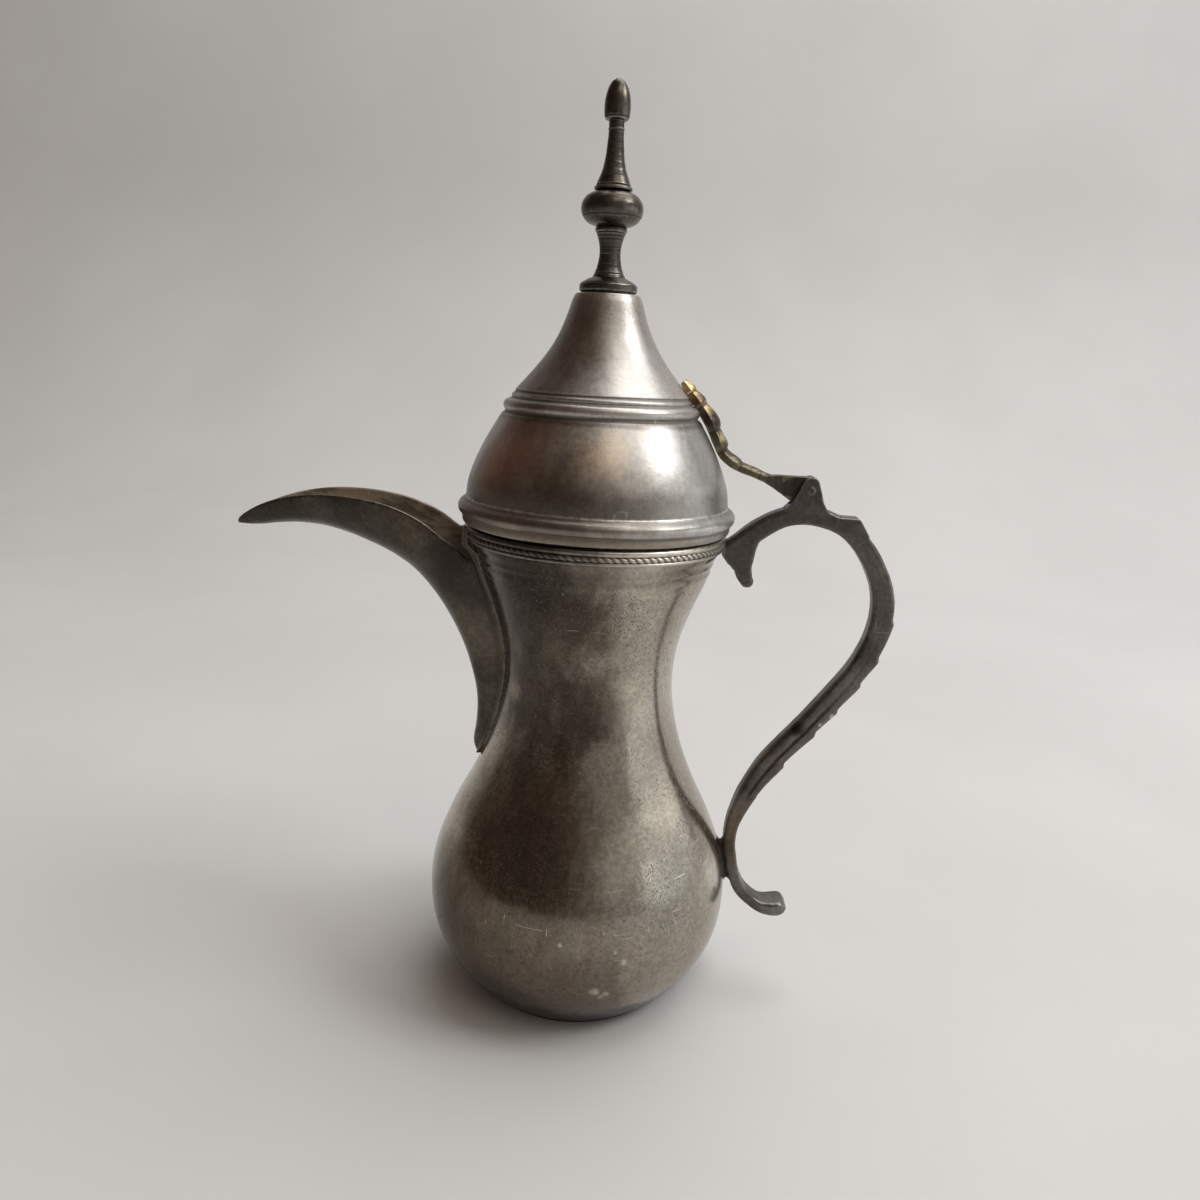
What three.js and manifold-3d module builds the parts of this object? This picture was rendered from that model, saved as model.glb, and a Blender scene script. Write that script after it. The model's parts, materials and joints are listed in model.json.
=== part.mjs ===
// A dallah: a spouted coffee pot with a hinged, finialled lid. Millimetres, +Z up.
// The origin is the centre of the foot's underside, on the pot's axis. The spout points to -X and
// the handle and the lid's hinge to +X, so y = 0 is the mirror plane.
import * as THREE from "three";
import { mergeVertices } from "three/addons/utils/BufferGeometryUtils.js";
import loadManifold from "manifold-3d";

const manifold = await loadManifold();
manifold.setup();

// ---------------------------------------------------------------- driving dimensions

const GAP = 0.3; // clearance between two pieces that are soldered, strung or stacked together
const SHEET = 1.0; // spun sheet of the body and the lid
const ROUND = 32; // sides of the body, the lid and the rings
const SMALL_ROUND = 16; // sides of the finial's pieces and the pin

const FOOT_RADIUS = 31;
const FOOT_WIDTH = 2.6;
const FOOT_HEIGHT = 2.0;

const LIP_HEIGHT = 143.0; // top edge of the body
const COLLAR_RADIUS = 35.6; // outside of the straight collar at the top of the neck
const RING_RADIUS = 37.6; // largest radius of the mouth ring

const LID_HEIGHT = 143.5; // lower edge of the lid
const LID_RADIUS = 38.1;
const LID_TOP = 206.6;
const LID_TOP_RADIUS = 8.8;

const FINIAL_TOP = 260;
const ROD_RADIUS = 0.9;
const ROD_BORE = ROD_RADIUS + GAP;

const PIN = { x: 60, z: 156.9, radius: 1.1, bore: 1.18 };
const HANDLE_WIDTH = 6.4;
const SLOT_WIDTH = 3.4; // between the two ears of the hinge
const TONGUE_WIDTH = 2.8;

const SPOUT_SHEET = 1.2;
const POUR_HOLE_RADIUS = 1.7;

// ---------------------------------------------------------------- profiles, as [radius, height]

// Outside of the body, from the foot to the top of the neck.
const BODY_OUTSIDE = [
  [33.0, 2.4],
  [39.4, 10],
  [44.2, 20],
  [45.7, 31],
  [44.3, 42],
  [39.8, 54],
  [33.8, 66],
  [28.9, 78],
  [26.0, 90],
  [25.1, 100],
  [26.2, 110],
  [29.2, 120],
  [32.7, 129],
  [34.5, 135],
];

// Dome of the lid, from the groove above its rim to the groove under the upper moulding.
const LID_DOME = [
  [37.3, 150.6],
  [36.6, 155.5],
  [34.5, 161.5],
  [31.3, 168],
  [28.0, 173.6],
];

// Concave cone of the lid, from the upper moulding to the flat top.
const LID_CONE = [
  [24.3, 180.3],
  [20.2, 185],
  [16.3, 190],
  [13.3, 195],
  [11.2, 200],
  [9.7, 204.6],
];

// ---------------------------------------------------------------- the handle and the strap

// Stations along the grip, from the curl at its lower end to the rim: x, z, thickness, width.
const HANDLE_STATIONS = [
  [65.2, 26.6, 3.2, 8.6],
  [61.6, 25.8, 3.8, 8.8],
  [58.0, 26.1, 3.7, 7.6],
  [54.6, 27.9, 3.6, 6.4],
  [51.0, 31.3, 3.6, 6.2],
  [48.7, 36.0, 3.5, 6.2],
  [47.4, 41.5, 3.5, 6.2],
  [46.5, 47.0, 3.7, 6.2],
  [46.9, 53.0, 4.0, 6.2],
  [48.9, 59.5, 5.1, 6.3],
  [51.9, 66.2, 6.1, 6.4],
  [56.0, 73.4, 6.9, 6.4],
  [61.0, 80.2, 6.7, 6.4],
  [67.0, 87.8, 6.7, 6.4],
  [73.0, 96.0, 6.7, 6.4],
  [78.2, 103.8, 6.4, 6.4],
  [81.9, 111.4, 6.5, 6.4],
  [83.8, 119.4, 6.4, 6.4],
  [83.6, 127.4, 6.2, 6.4],
  [80.8, 135.0, 5.7, 6.4],
  [76.0, 142.2, 5.4, 6.4],
  [69.5, 147.2, 4.8, 6.4],
  [61.6, 149.6, 5.2, 6.4],
  [53.8, 148.8, 5.2, 6.4],
  [46.4, 144.6, 5.7, 6.4],
  [41.5, 140.0, 6.2, 6.4],
  [37.0, 136.6, 6.0, 6.4],
];

// The finger lug that hangs from the root of the handle, in the same form.
const LUG_STATIONS = [
  [43.4, 140.0, 6.0, 6.0],
  [42.4, 136.6, 6.2, 6.0],
  [43.0, 133.4, 5.0, 6.0],
  [44.0, 130.6, 4.2, 6.0],
  [44.6, 128.8, 2.6, 5.2],
];

// Side outline of the two ears and of the square shoulder behind them.
const EAR_OUTLINE = [
  [54.9, 153.0],
  [57.5, 158.9],
  [58.2, 160.1],
  [59.4, 160.7],
  [60.8, 160.6],
  [61.8, 159.8],
  [62.7, 157.2],
  [63.7, 153.7],
  [65.2, 151.2],
  [67.7, 149.9],
  [74.1, 149.5],
  [77.4, 145.0],
  [74.6, 142.6],
  [67.6, 147.0],
  [60.0, 148.4],
  [52.6, 150.6],
];

// Side outline of the slot that the tongue turns in: deep in front of the pin, and with a floor
// close under it behind, where the tongue's heel stops the open lid.
const SLOT_OUTLINE = [
  [50.0, 152.4],
  [57.6, 152.4],
  [58.8, 153.9],
  [68.0, 153.9],
  [68.0, 164.0],
  [50.0, 164.0],
];

// Side outline of the strap's tongue, which reaches between the ears and round the pin.
const TONGUE_OUTLINE = [
  [47.0, 160.2],
  [49.5, 160.5],
  [60.6, 160.6],
  [62.0, 159.9],
  [62.4, 157.8],
  [62.2, 156.0],
  [61.3, 154.9],
  [60.0, 154.5],
  [57.9, 154.5],
  [55.3, 153.1],
  [49.2, 157.0],
  [46.2, 158.6],
];

// Stations along the leaf that lies on the lid: x, z, thickness, width.
const STRAP_STATIONS = [
  [22.0, 184.6, 1.6, 3.0],
  [24.4, 181.9, 2.6, 7.0],
  [27.8, 177.8, 3.2, 9.0],
  [30.9, 173.2, 3.2, 9.4],
  [33.3, 168.8, 3.0, 9.0],
  [36.2, 165.7, 2.8, 7.6],
  [39.6, 163.0, 2.6, 6.0],
  [43.4, 160.9, 2.4, 4.4],
  [47.2, 159.5, 2.4, 3.4],
  [50.0, 158.8, 2.4, 2.8],
];

// ---------------------------------------------------------------- the spout

// Stations along the beak, from its tip to its foot on the neck. Each joins a point of the upper
// edge (x, z, half width) to a point of the keel (x, z).
const SPOUT_STATIONS = [
  { edge: [-105.4, 138.6], half: 1.0, keel: [-106.0, 137.1] },
  { edge: [-103.0, 140.3], half: 2.3, keel: [-102.6, 136.9] },
  { edge: [-99.0, 142.6], half: 4.4, keel: [-98.4, 137.2] },
  { edge: [-94.0, 144.8], half: 6.3, keel: [-93.0, 138.0] },
  { edge: [-88.0, 146.6], half: 8.0, keel: [-86.4, 138.5] },
  { edge: [-81.0, 147.8], half: 9.1, keel: [-79.0, 138.0] },
  { edge: [-74.0, 148.1], half: 9.7, keel: [-72.0, 136.4] },
  { edge: [-67.0, 147.8], half: 10.1, keel: [-65.0, 133.9] },
  { edge: [-60.0, 146.8], half: 10.6, keel: [-58.2, 130.8] },
  { edge: [-54.0, 145.1], half: 11.1, keel: [-52.2, 126.8] },
  { edge: [-48.0, 142.4], half: 11.7, keel: [-47.2, 121.6] },
  { edge: [-42.8, 139.1], half: 12.0, keel: [-43.0, 115.8] },
  { edge: [-36.5, 138.0], half: 12.3, keel: [-39.4, 109.3] },
  { edge: [-30.6, 131.0], half: 10.9, keel: [-36.7, 102.6] },
  { edge: [-27.4, 122.0], half: 9.0, keel: [-34.8, 96.2] },
  { edge: [-24.6, 113.0], half: 7.4, keel: [-33.6, 90.4] },
  { edge: [-23.4, 104.0], half: 6.2, keel: [-33.3, 85.0] },
  { edge: [-23.6, 95.0], half: 5.3, keel: [-33.6, 79.8] },
  { edge: [-25.2, 86.0], half: 4.6, keel: [-34.1, 76.2] },
  { edge: [-27.4, 79.0], half: 3.9, keel: [-34.2, 73.8] },
  { edge: [-29.0, 74.0], half: 3.1, keel: [-33.6, 71.6] },
  { edge: [-29.8, 71.4], half: 2.2, keel: [-32.8, 70.2] },
];

// The saddle that the beak's foot spreads into against the neck: half width at each height.
const SADDLE_OUTLINE = [
  [3.0, 70.8],
  [5.4, 74.5],
  [6.4, 82],
  [7.0, 90],
  [8.2, 102],
  [10.4, 114],
  [13.2, 127],
  [15.2, 137],
  [15.0, 142.6],
];
// The opening in it, between the walls of the trough.
const SADDLE_OPENING = [
  [2.0, 76],
  [3.4, 86],
  [4.2, 96],
  [5.4, 107],
  [7.6, 120],
  [10.6, 133],
  [11.0, 146],
];
const SADDLE_SHEET = 1.1;

// Rows of pour holes through the neck behind the spout: height and how many.
const POUR_HOLE_ROWS = [
  [104, 1],
  [110, 2],
  [116, 3],
  [122, 2],
];
const POUR_HOLE_PITCH = 5;

// ---------------------------------------------------------------- materials

function metal(color, roughness) {
  return new THREE.MeshStandardMaterial({ color, roughness, metalness: 1 });
}

const SPUN = metal(0x8a857b, 0.32);
const CAST = metal(0x5d5850, 0.42);
const TURNED = metal(0x6a655e, 0.34);
const LEAF = metal(0x8d7444, 0.45);
const HIDDEN = metal(0x77715f, 0.5);

// ---------------------------------------------------------------- solids and booleans

function toSolid(geometry) {
  const bare = geometry.clone();
  bare.deleteAttribute("normal");
  bare.deleteAttribute("uv");
  const merged = mergeVertices(bare, 1e-4);
  return new manifold.Manifold(
    new manifold.Mesh({
      numProp: 3,
      vertProperties: merged.attributes.position.array,
      triVerts: new Uint32Array(merged.index.array),
    }),
  );
}

function toGeometry(solid) {
  const mesh = solid.getMesh();
  const geometry = new THREE.BufferGeometry();
  geometry.setAttribute("position", new THREE.BufferAttribute(mesh.vertProperties, 3));
  geometry.setIndex(new THREE.BufferAttribute(mesh.triVerts, 1));
  geometry.computeVertexNormals();
  return geometry;
}

// ---------------------------------------------------------------- shape helpers

/** Points of a smooth curve through a few [a, b] points. */
function smooth(points, steps) {
  const curve = new THREE.SplineCurve(points.map(([a, b]) => new THREE.Vector2(a, b)));
  return curve.getPoints(steps).map((p) => [p.x, p.y]);
}

/** Points of an arc in the [radius, height] plane; angles in degrees from straight outwards. */
function arc(radius, height, size, from, to, steps) {
  return Array.from({ length: steps + 1 }, (_, i) => {
    const angle = THREE.MathUtils.degToRad(from + ((to - from) * i) / steps);
    return [radius + size * Math.cos(angle), height + size * Math.sin(angle)];
  });
}

/** A line moved sideways by a distance: to the left of its direction when positive. */
function offset(points, distance) {
  return points.map(([a, b], i) => {
    const [a0, b0] = points[Math.max(i - 1, 0)];
    const [a1, b1] = points[Math.min(i + 1, points.length - 1)];
    const length = Math.hypot(a1 - a0, b1 - b0);
    return [a - (distance * (b1 - b0)) / length, b + (distance * (a1 - a0)) / length];
  });
}

/** Turns a profile about the Z axis. It starts and ends on the axis, or is closed by its caller. */
function turned(profile, sides = ROUND) {
  const points = profile.map(([radius, height]) => new THREE.Vector2(radius, height));
  return new THREE.LatheGeometry(points, sides).rotateX(Math.PI / 2);
}

/** A turned ring: the outline is closed back to its first point. */
function ring(outline, sides = ROUND) {
  return turned([...outline, outline[0]], sides);
}

/** A flat slab with a side outline in the XZ plane, centred on y = 0. */
function slab(outline, width) {
  const shape = new THREE.Shape(outline.map(([x, z]) => new THREE.Vector2(x, z)));
  const geometry = new THREE.ExtrudeGeometry(shape, { depth: width, bevelEnabled: false });
  return geometry.rotateX(Math.PI / 2).translate(0, width / 2, 0);
}

/** A round bar along Y through the hinge's axis. */
function hingeBar(radius, length) {
  const bar = new THREE.CylinderGeometry(radius, radius, length, SMALL_ROUND);
  return bar.translate(PIN.x, 0, PIN.z);
}

/** Skins a closed body over flat outlines with equal counts of points; place() puts them in space. */
function loft(outlines, place) {
  const count = outlines[0].length;
  const last = outlines.length - 1;
  const positions = outlines.flatMap((outline, i) => outline.flatMap((p) => place(i, p).toArray()));
  const index = [];
  for (let i = 0; i < last; i++) {
    for (let j = 0; j < count; j++) {
      const a = i * count + j;
      const b = i * count + ((j + 1) % count);
      index.push(a, b, a + count, b, b + count, a + count);
    }
  }
  for (const [a, b, c] of THREE.ShapeUtils.triangulateShape(outlines[0], [])) {
    index.push(c, b, a);
  }
  for (const [a, b, c] of THREE.ShapeUtils.triangulateShape(outlines[last], [])) {
    index.push(a + last * count, b + last * count, c + last * count);
  }
  const geometry = new THREE.BufferGeometry();
  geometry.setAttribute("position", new THREE.Float32BufferAttribute(positions, 3));
  geometry.setIndex(index);
  return geometry;
}

/** A bar with chamfered edges along stations of x, z, thickness and width. */
function bar(stations, steps) {
  const path = new THREE.SplineCurve(stations.map(([x, z]) => new THREE.Vector2(x, z)));
  const size = new THREE.SplineCurve(stations.map(([, , t, w]) => new THREE.Vector2(t, w)));
  const at = Array.from({ length: steps + 1 }, (_, i) => i / steps);
  const outlines = at.map((u) => {
    const { x: thickness, y: width } = size.getPoint(u);
    const chamfer = Math.min(thickness, width) * 0.22;
    const [w, t] = [width / 2, thickness / 2];
    return [
      new THREE.Vector2(-w, -t + chamfer),
      new THREE.Vector2(-w + chamfer, -t),
      new THREE.Vector2(w - chamfer, -t),
      new THREE.Vector2(w, -t + chamfer),
      new THREE.Vector2(w, t - chamfer),
      new THREE.Vector2(w - chamfer, t),
      new THREE.Vector2(-w + chamfer, t),
      new THREE.Vector2(-w, t - chamfer),
    ];
  });
  return loft(outlines, (i, p) => {
    const centre = path.getPoint(at[i]);
    const along = path.getTangent(at[i]);
    return new THREE.Vector3(centre.x - along.y * p.y, p.x, centre.y + along.x * p.y);
  });
}

// ---------------------------------------------------------------- the pot

const bodyOutside = [...smooth(BODY_OUTSIDE, 17), [COLLAR_RADIUS, 137.6], [COLLAR_RADIUS, LIP_HEIGHT]];

// Everything that the spout and the handle are soldered against, grown by a clearance.
function potEnvelope(clearance) {
  const skin = offset(bodyOutside.slice(0, -1), -clearance);
  const rings = RING_RADIUS + clearance;
  const top = LIP_HEIGHT + 1;
  return toSolid(turned([[0, 1], [33, 1], ...skin, [rings, 137.6], [rings, top], [0, top]]));
}

function vesselBody() {
  const inside = offset(bodyOutside, SHEET).reverse();
  const shell = toSolid(
    turned([[0, FOOT_HEIGHT + GAP], [30, FOOT_HEIGHT + GAP], ...bodyOutside, ...inside.slice(0, -1),
      [31.5, FOOT_HEIGHT + GAP + SHEET], [0, FOOT_HEIGHT + GAP + SHEET]]),
  );
  const drills = POUR_HOLE_ROWS.flatMap(([height, holes]) =>
    Array.from({ length: holes }, (_, i) => {
      const y = (i - (holes - 1) / 2) * POUR_HOLE_PITCH;
      const drill = new THREE.CylinderGeometry(POUR_HOLE_RADIUS, POUR_HOLE_RADIUS, 16, 10);
      return toSolid(drill.rotateZ(Math.PI / 2).translate(-26, y, height));
    }),
  );
  return toGeometry(drills.reduce((solid, drill) => solid.subtract(drill), shell));
}

function basePlate() {
  const radius = FOOT_RADIUS - FOOT_WIDTH - GAP;
  return turned([[0, 0], [radius, 0], [radius, FOOT_HEIGHT - 0.4], [0, FOOT_HEIGHT - 0.4]]);
}

function footRing() {
  const inner = FOOT_RADIUS - FOOT_WIDTH;
  return ring([
    [inner, 0],
    [FOOT_RADIUS - 0.5, 0],
    [FOOT_RADIUS, 0.5],
    [FOOT_RADIUS - 0.4, FOOT_HEIGHT],
    [inner, FOOT_HEIGHT],
  ]);
}

/** A wire or moulding round the collar, between two heights, with a rounded outer face. */
function collarRing(low, high, radius) {
  const inner = COLLAR_RADIUS + GAP;
  const size = (high - low) / 2;
  return ring([[inner, low], ...arc(radius - size, (low + high) / 2, size, -90, 90, 3), [inner, high]]);
}

function spoutTrough() {
  const steps = 8;
  const outlines = SPOUT_STATIONS.map(({ edge, half, keel }) => {
    const depth = Math.hypot(edge[0] - keel[0], edge[1] - keel[1]);
    const sheet = Math.min(SPOUT_SHEET, half * 0.45);
    const halfRound = (width, low) =>
      Array.from({ length: steps + 1 }, (_, k) => {
        const angle = Math.PI * (k / steps - 0.5);
        const height = low + (depth - low) * (1 - Math.cos(angle));
        return new THREE.Vector2(width * Math.sin(angle), height);
      });
    return [...halfRound(half, 0), ...halfRound(half - sheet, sheet).reverse()];
  });
  const beak = loft(outlines, (i, p) => {
    const { edge, keel } = SPOUT_STATIONS[i];
    const up = new THREE.Vector2(edge[0] - keel[0], edge[1] - keel[1]).normalize();
    return new THREE.Vector3(keel[0] + up.x * p.y, p.x, keel[1] + up.y * p.y);
  });
  return toGeometry(toSolid(beak).add(spoutSaddle()).subtract(potEnvelope(GAP)));
}

/** The sheet round the foot of the beak, which follows the neck and laps the mouth ring. */
function spoutSaddle() {
  const neck = offset(bodyOutside.slice(0, -1), -GAP - SADDLE_SHEET).filter(([, z]) => z > 69 && z < 131);
  const rings = RING_RADIUS + GAP + SADDLE_SHEET;
  const low = neck[0][1];
  const skin = turned([[0, low], ...neck, [rings, 138.5], [rings, LIP_HEIGHT], [0, LIP_HEIGHT]]);
  return toSolid(skin)
    .intersect(toSolid(faceOutline(SADDLE_OUTLINE)))
    .subtract(toSolid(faceOutline(SADDLE_OPENING)));
}

/** A slab along X with an outline in the YZ plane, given as half widths; it covers x < 0. */
function faceOutline(halfWidths) {
  const right = halfWidths.map(([y, z]) => new THREE.Vector2(y, z));
  const left = halfWidths.map(([y, z]) => new THREE.Vector2(-y, z)).reverse();
  const shape = new THREE.Shape([...right, ...left]);
  const geometry = new THREE.ExtrudeGeometry(shape, { depth: 60, bevelEnabled: false });
  // Shape X, Y and depth become Y, Z and X.
  const turn = new THREE.Matrix4().set(0, 0, 1, -61, 1, 0, 0, 0, 0, 1, 0, 0, 0, 0, 0, 1);
  return geometry.applyMatrix4(turn);
}

// The pad fills the space between the body and the lower end of the handle.
const PAD = { low: 34.5, high: 46.5, width: 7.5, thickness: 0.8 };

function padBlock(clearance) {
  const skin = bodyOutside.filter(([, z]) => z > PAD.low - 8 && z < PAD.high + 8);
  const inside = offset(skin, clearance - GAP);
  const outside = offset(skin, -GAP - PAD.thickness - clearance).reverse();
  const band = toSolid(ring([...inside, ...outside].reverse()));
  const height = PAD.high - PAD.low + 2 * clearance;
  const box = new THREE.BoxGeometry(20, PAD.width + 2 * clearance, height);
  return band.intersect(toSolid(box.translate(COLLAR_RADIUS + 9, 0, (PAD.low + PAD.high) / 2)));
}

function handle() {
  const drill = toSolid(hingeBar(PIN.bore, 2 * HANDLE_WIDTH));
  const solid = toSolid(bar(HANDLE_STATIONS, 48))
    .add(toSolid(bar(LUG_STATIONS, 6)))
    .add(toSolid(slab(EAR_OUTLINE, HANDLE_WIDTH)))
    .subtract(toSolid(slab(SLOT_OUTLINE, SLOT_WIDTH)))
    .subtract(drill)
    .subtract(potEnvelope(GAP))
    .subtract(padBlock(GAP));
  return toGeometry(solid);
}

// ---------------------------------------------------------------- the lid

const lidRim = [
  [LID_RADIUS, LID_HEIGHT],
  [LID_RADIUS + 0.5, 145.9],
  ...arc(37.6, 147.6, 1.9, -50, 75, 4),
];
const lidMoulding = [
  [27.0, 174.3],
  ...arc(25.7, 176.0, 1.9, -40, 70, 3),
  ...arc(24.7, 178.7, 0.7, -45, 80, 2),
  [24.2, 179.6],
];
const lidCone = smooth(LID_CONE, 6);
const lidDome = smooth(LID_DOME, 6);

function lidShell() {
  const outside = [...lidRim, ...lidDome, ...lidMoulding, ...lidCone, [LID_TOP_RADIUS, LID_TOP]];
  const inside = [
    ...offset([[LID_RADIUS, 144.8], ...lidDome, ...lidCone.slice(1)], SHEET),
    [LID_TOP_RADIUS - SHEET, LID_TOP - SHEET],
    [ROD_BORE, LID_TOP - SHEET],
  ];
  // The lower edge turns inwards as a flat seat over the lip of the body.
  const seat = [[LID_RADIUS - SHEET, 144.4], [34.9, 144.4], [34.9, LID_HEIGHT]];
  return ring([...outside, [ROD_BORE, LID_TOP], ...inside.reverse(), ...seat]);
}

/** The collar that centres the lid, tapered so that it swings out of the mouth. */
function lidBezel() {
  return ring([
    [31.2, 139.8],
    [32.2, 139.8],
    [33.8, 144.2],
    [33.8, 144.7],
    [36.4, 144.7],
    [36.4, 145.5],
    [32.8, 145.5],
    [32.8, 144.2],
  ]);
}

function lidStrap() {
  const lidSkin = offset([...lidRim, ...lidDome, ...lidMoulding, ...lidCone], -GAP - 0.15);
  const lid = toSolid(turned([[0, 143], [LID_RADIUS, 143], ...lidSkin, [0, LID_TOP]]));
  const solid = toSolid(bar(STRAP_STATIONS, 18))
    .add(toSolid(slab(TONGUE_OUTLINE, TONGUE_WIDTH)))
    .subtract(toSolid(hingeBar(PIN.bore, 2 * HANDLE_WIDTH)))
    .subtract(lid);
  return toGeometry(solid);
}

// ---------------------------------------------------------------- the finial

/** A turned piece with the rod's bore through it, from its outside profile, bottom to top. */
function strung(outside) {
  const [low, high] = [outside[0][1], outside[outside.length - 1][1]];
  return ring([[ROD_BORE, low], ...outside, [ROD_BORE, high]], SMALL_ROUND);
}

const finialDisc = () => strung([[7.3, 206.9], [7.9, 207.5], [7.9, 208.9], [7.2, 209.8], [5.0, 210.7]]);

const finialSpool = () => strung(smooth([[4.3, 211.0], [3.3, 214], [2.85, 217], [3.2, 220], [4.2, 223.5]], 6));

const finialBall = () => strung([[3.8, 223.8], ...arc(4.2, 228.3, 4.15, -78, 78, 6), [4.0, 232.7]]);

const finialStem = () => strung([[5.1, 233.0], ...smooth([[5.1, 233.9], [3.1, 238], [2.2, 243], [2.0, 249.7]], 6)]);

function finialTip() {
  const outside = smooth([[2.5, 250.0], [3.4, 251.6], [3.4, 255], [2.5, 258], [0.9, 259.8]], 8);
  const bore = [[0, 254], [ROD_BORE, 254], [ROD_BORE, 250.0]];
  return turned([...bore, ...outside, [0, FINIAL_TOP]], SMALL_ROUND);
}

const finialRod = () => turned([[0, 200.6], [ROD_RADIUS, 200.6], [ROD_RADIUS, 253.6], [0, 253.6]], SMALL_ROUND);

const finialWasher = () => strung([[4.4, 204.5], [4.4, 205.3]]);

function finialNut() {
  const corners = Array.from({ length: 6 }, (_, i) => {
    const angle = (i * Math.PI) / 3;
    return new THREE.Vector2(2.9 * Math.cos(angle), 2.9 * Math.sin(angle));
  });
  const shape = new THREE.Shape(corners);
  shape.holes.push(new THREE.Path().absarc(0, 0, ROD_BORE, 0, 2 * Math.PI, true));
  const options = { depth: 2.4, bevelEnabled: false, curveSegments: 8 };
  return new THREE.ExtrudeGeometry(shape, options).translate(0, 0, 201.8);
}

// ---------------------------------------------------------------- the assembly

function part(name, geometry, material) {
  const mesh = new THREE.Mesh(geometry, material);
  mesh.name = name;
  return mesh;
}

const pot = new THREE.Group();
pot.add(
  part("vessel_body", vesselBody(), SPUN),
  part("base_plate", basePlate(), HIDDEN),
  part("foot_ring", footRing(), SPUN),
  part("neck_bead", collarRing(138.1, 139.2, 37.1), SPUN),
  part("rope_wire", collarRing(139.5, 140.8, 37.2), SPUN),
  part("mouth_ring", collarRing(141.1, 142.8, RING_RADIUS), SPUN),
  part("spout_trough", spoutTrough(), CAST),
  part("handle", handle(), CAST),
  part("handle_foot_pad", toGeometry(padBlock(0)), CAST),
  part("hinge_pin", hingeBar(PIN.radius, HANDLE_WIDTH + 0.4), CAST),
);

const lid = new THREE.Group();
lid.add(
  part("lid_shell", lidShell(), SPUN),
  part("lid_bezel", lidBezel(), HIDDEN),
  part("lid_strap", lidStrap(), LEAF),
  part("finial_disc", finialDisc(), TURNED),
  part("finial_spool", finialSpool(), TURNED),
  part("finial_ball", finialBall(), TURNED),
  part("finial_stem", finialStem(), TURNED),
  part("finial_tip", finialTip(), TURNED),
  part("finial_rod", finialRod(), HIDDEN),
  part("finial_washer", finialWasher(), HIDDEN),
  part("finial_nut", finialNut(), HIDDEN),
);

const dallah = new THREE.Group();
dallah.add(pot, lid);

export default dallah;
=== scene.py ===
"""The looks of a dallah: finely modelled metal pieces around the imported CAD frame.

Shapes are worked out in millimetres, in the row frame, and become metres in make().
"""

import json
from math import acos, ceil, cos, exp, pi, radians, sin, sqrt

import bmesh
import bpy
import numpy as np
from mathutils import Matrix, Vector, noise

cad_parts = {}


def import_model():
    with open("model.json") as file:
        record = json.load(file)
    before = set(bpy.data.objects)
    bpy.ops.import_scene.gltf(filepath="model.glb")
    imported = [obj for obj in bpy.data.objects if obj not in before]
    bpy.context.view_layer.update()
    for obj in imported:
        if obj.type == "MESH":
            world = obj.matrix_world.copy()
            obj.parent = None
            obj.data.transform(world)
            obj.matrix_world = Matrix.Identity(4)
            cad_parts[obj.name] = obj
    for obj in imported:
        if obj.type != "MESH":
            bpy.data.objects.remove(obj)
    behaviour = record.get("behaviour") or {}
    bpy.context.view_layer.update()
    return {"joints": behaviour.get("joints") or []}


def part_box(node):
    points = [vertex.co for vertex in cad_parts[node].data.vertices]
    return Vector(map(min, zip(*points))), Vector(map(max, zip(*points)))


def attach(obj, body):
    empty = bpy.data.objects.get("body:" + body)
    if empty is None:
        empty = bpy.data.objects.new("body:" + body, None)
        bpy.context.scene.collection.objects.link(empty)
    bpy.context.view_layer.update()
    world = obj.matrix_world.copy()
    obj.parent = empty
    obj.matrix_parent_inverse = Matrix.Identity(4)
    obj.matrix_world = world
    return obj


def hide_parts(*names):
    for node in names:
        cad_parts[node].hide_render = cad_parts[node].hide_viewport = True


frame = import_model()

MM = 0.001


def low_high(node):
    """Lowest and highest corner of a CAD node, in millimetres."""
    return [[v / MM for v in corner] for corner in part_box(node)]


# ---- profiles, in mm

BODY = [(33, 2.4), (39.4, 10), (44.2, 20), (45.7, 31), (44.3, 42), (39.8, 54), (33.8, 66), (28.9, 78),
        (26, 90), (25.1, 100), (26.2, 110), (29.2, 120), (32.7, 129), (34.5, 135)]
DOME = [(37.3, 150.6), (36.6, 155.5), (34.5, 161.5), (31.3, 168), (28, 173.6)]
CONE = [(24.3, 180.3), (20.2, 185), (16.3, 190), (13.3, 195), (11.2, 200), (9.7, 204.6)]
SHEET = 1.0
COLLAR_RADIUS = 35.6
RINGS_RADIUS = 37.45      # the soldered rings' outside, where the spout and the handle meet them
SOLDER_GAP = 0.06
ROD_BORE = 1.2
PIN = (60.0, 0.0, 156.9)
PIN_BORE = 1.18
SLOT_WIDTH = 3.4
TONGUE_WIDTH = 2.8
HANDLE_WIDTH = 6.4
HOLE_RADIUS, HOLE_PITCH = 1.7, 5

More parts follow.
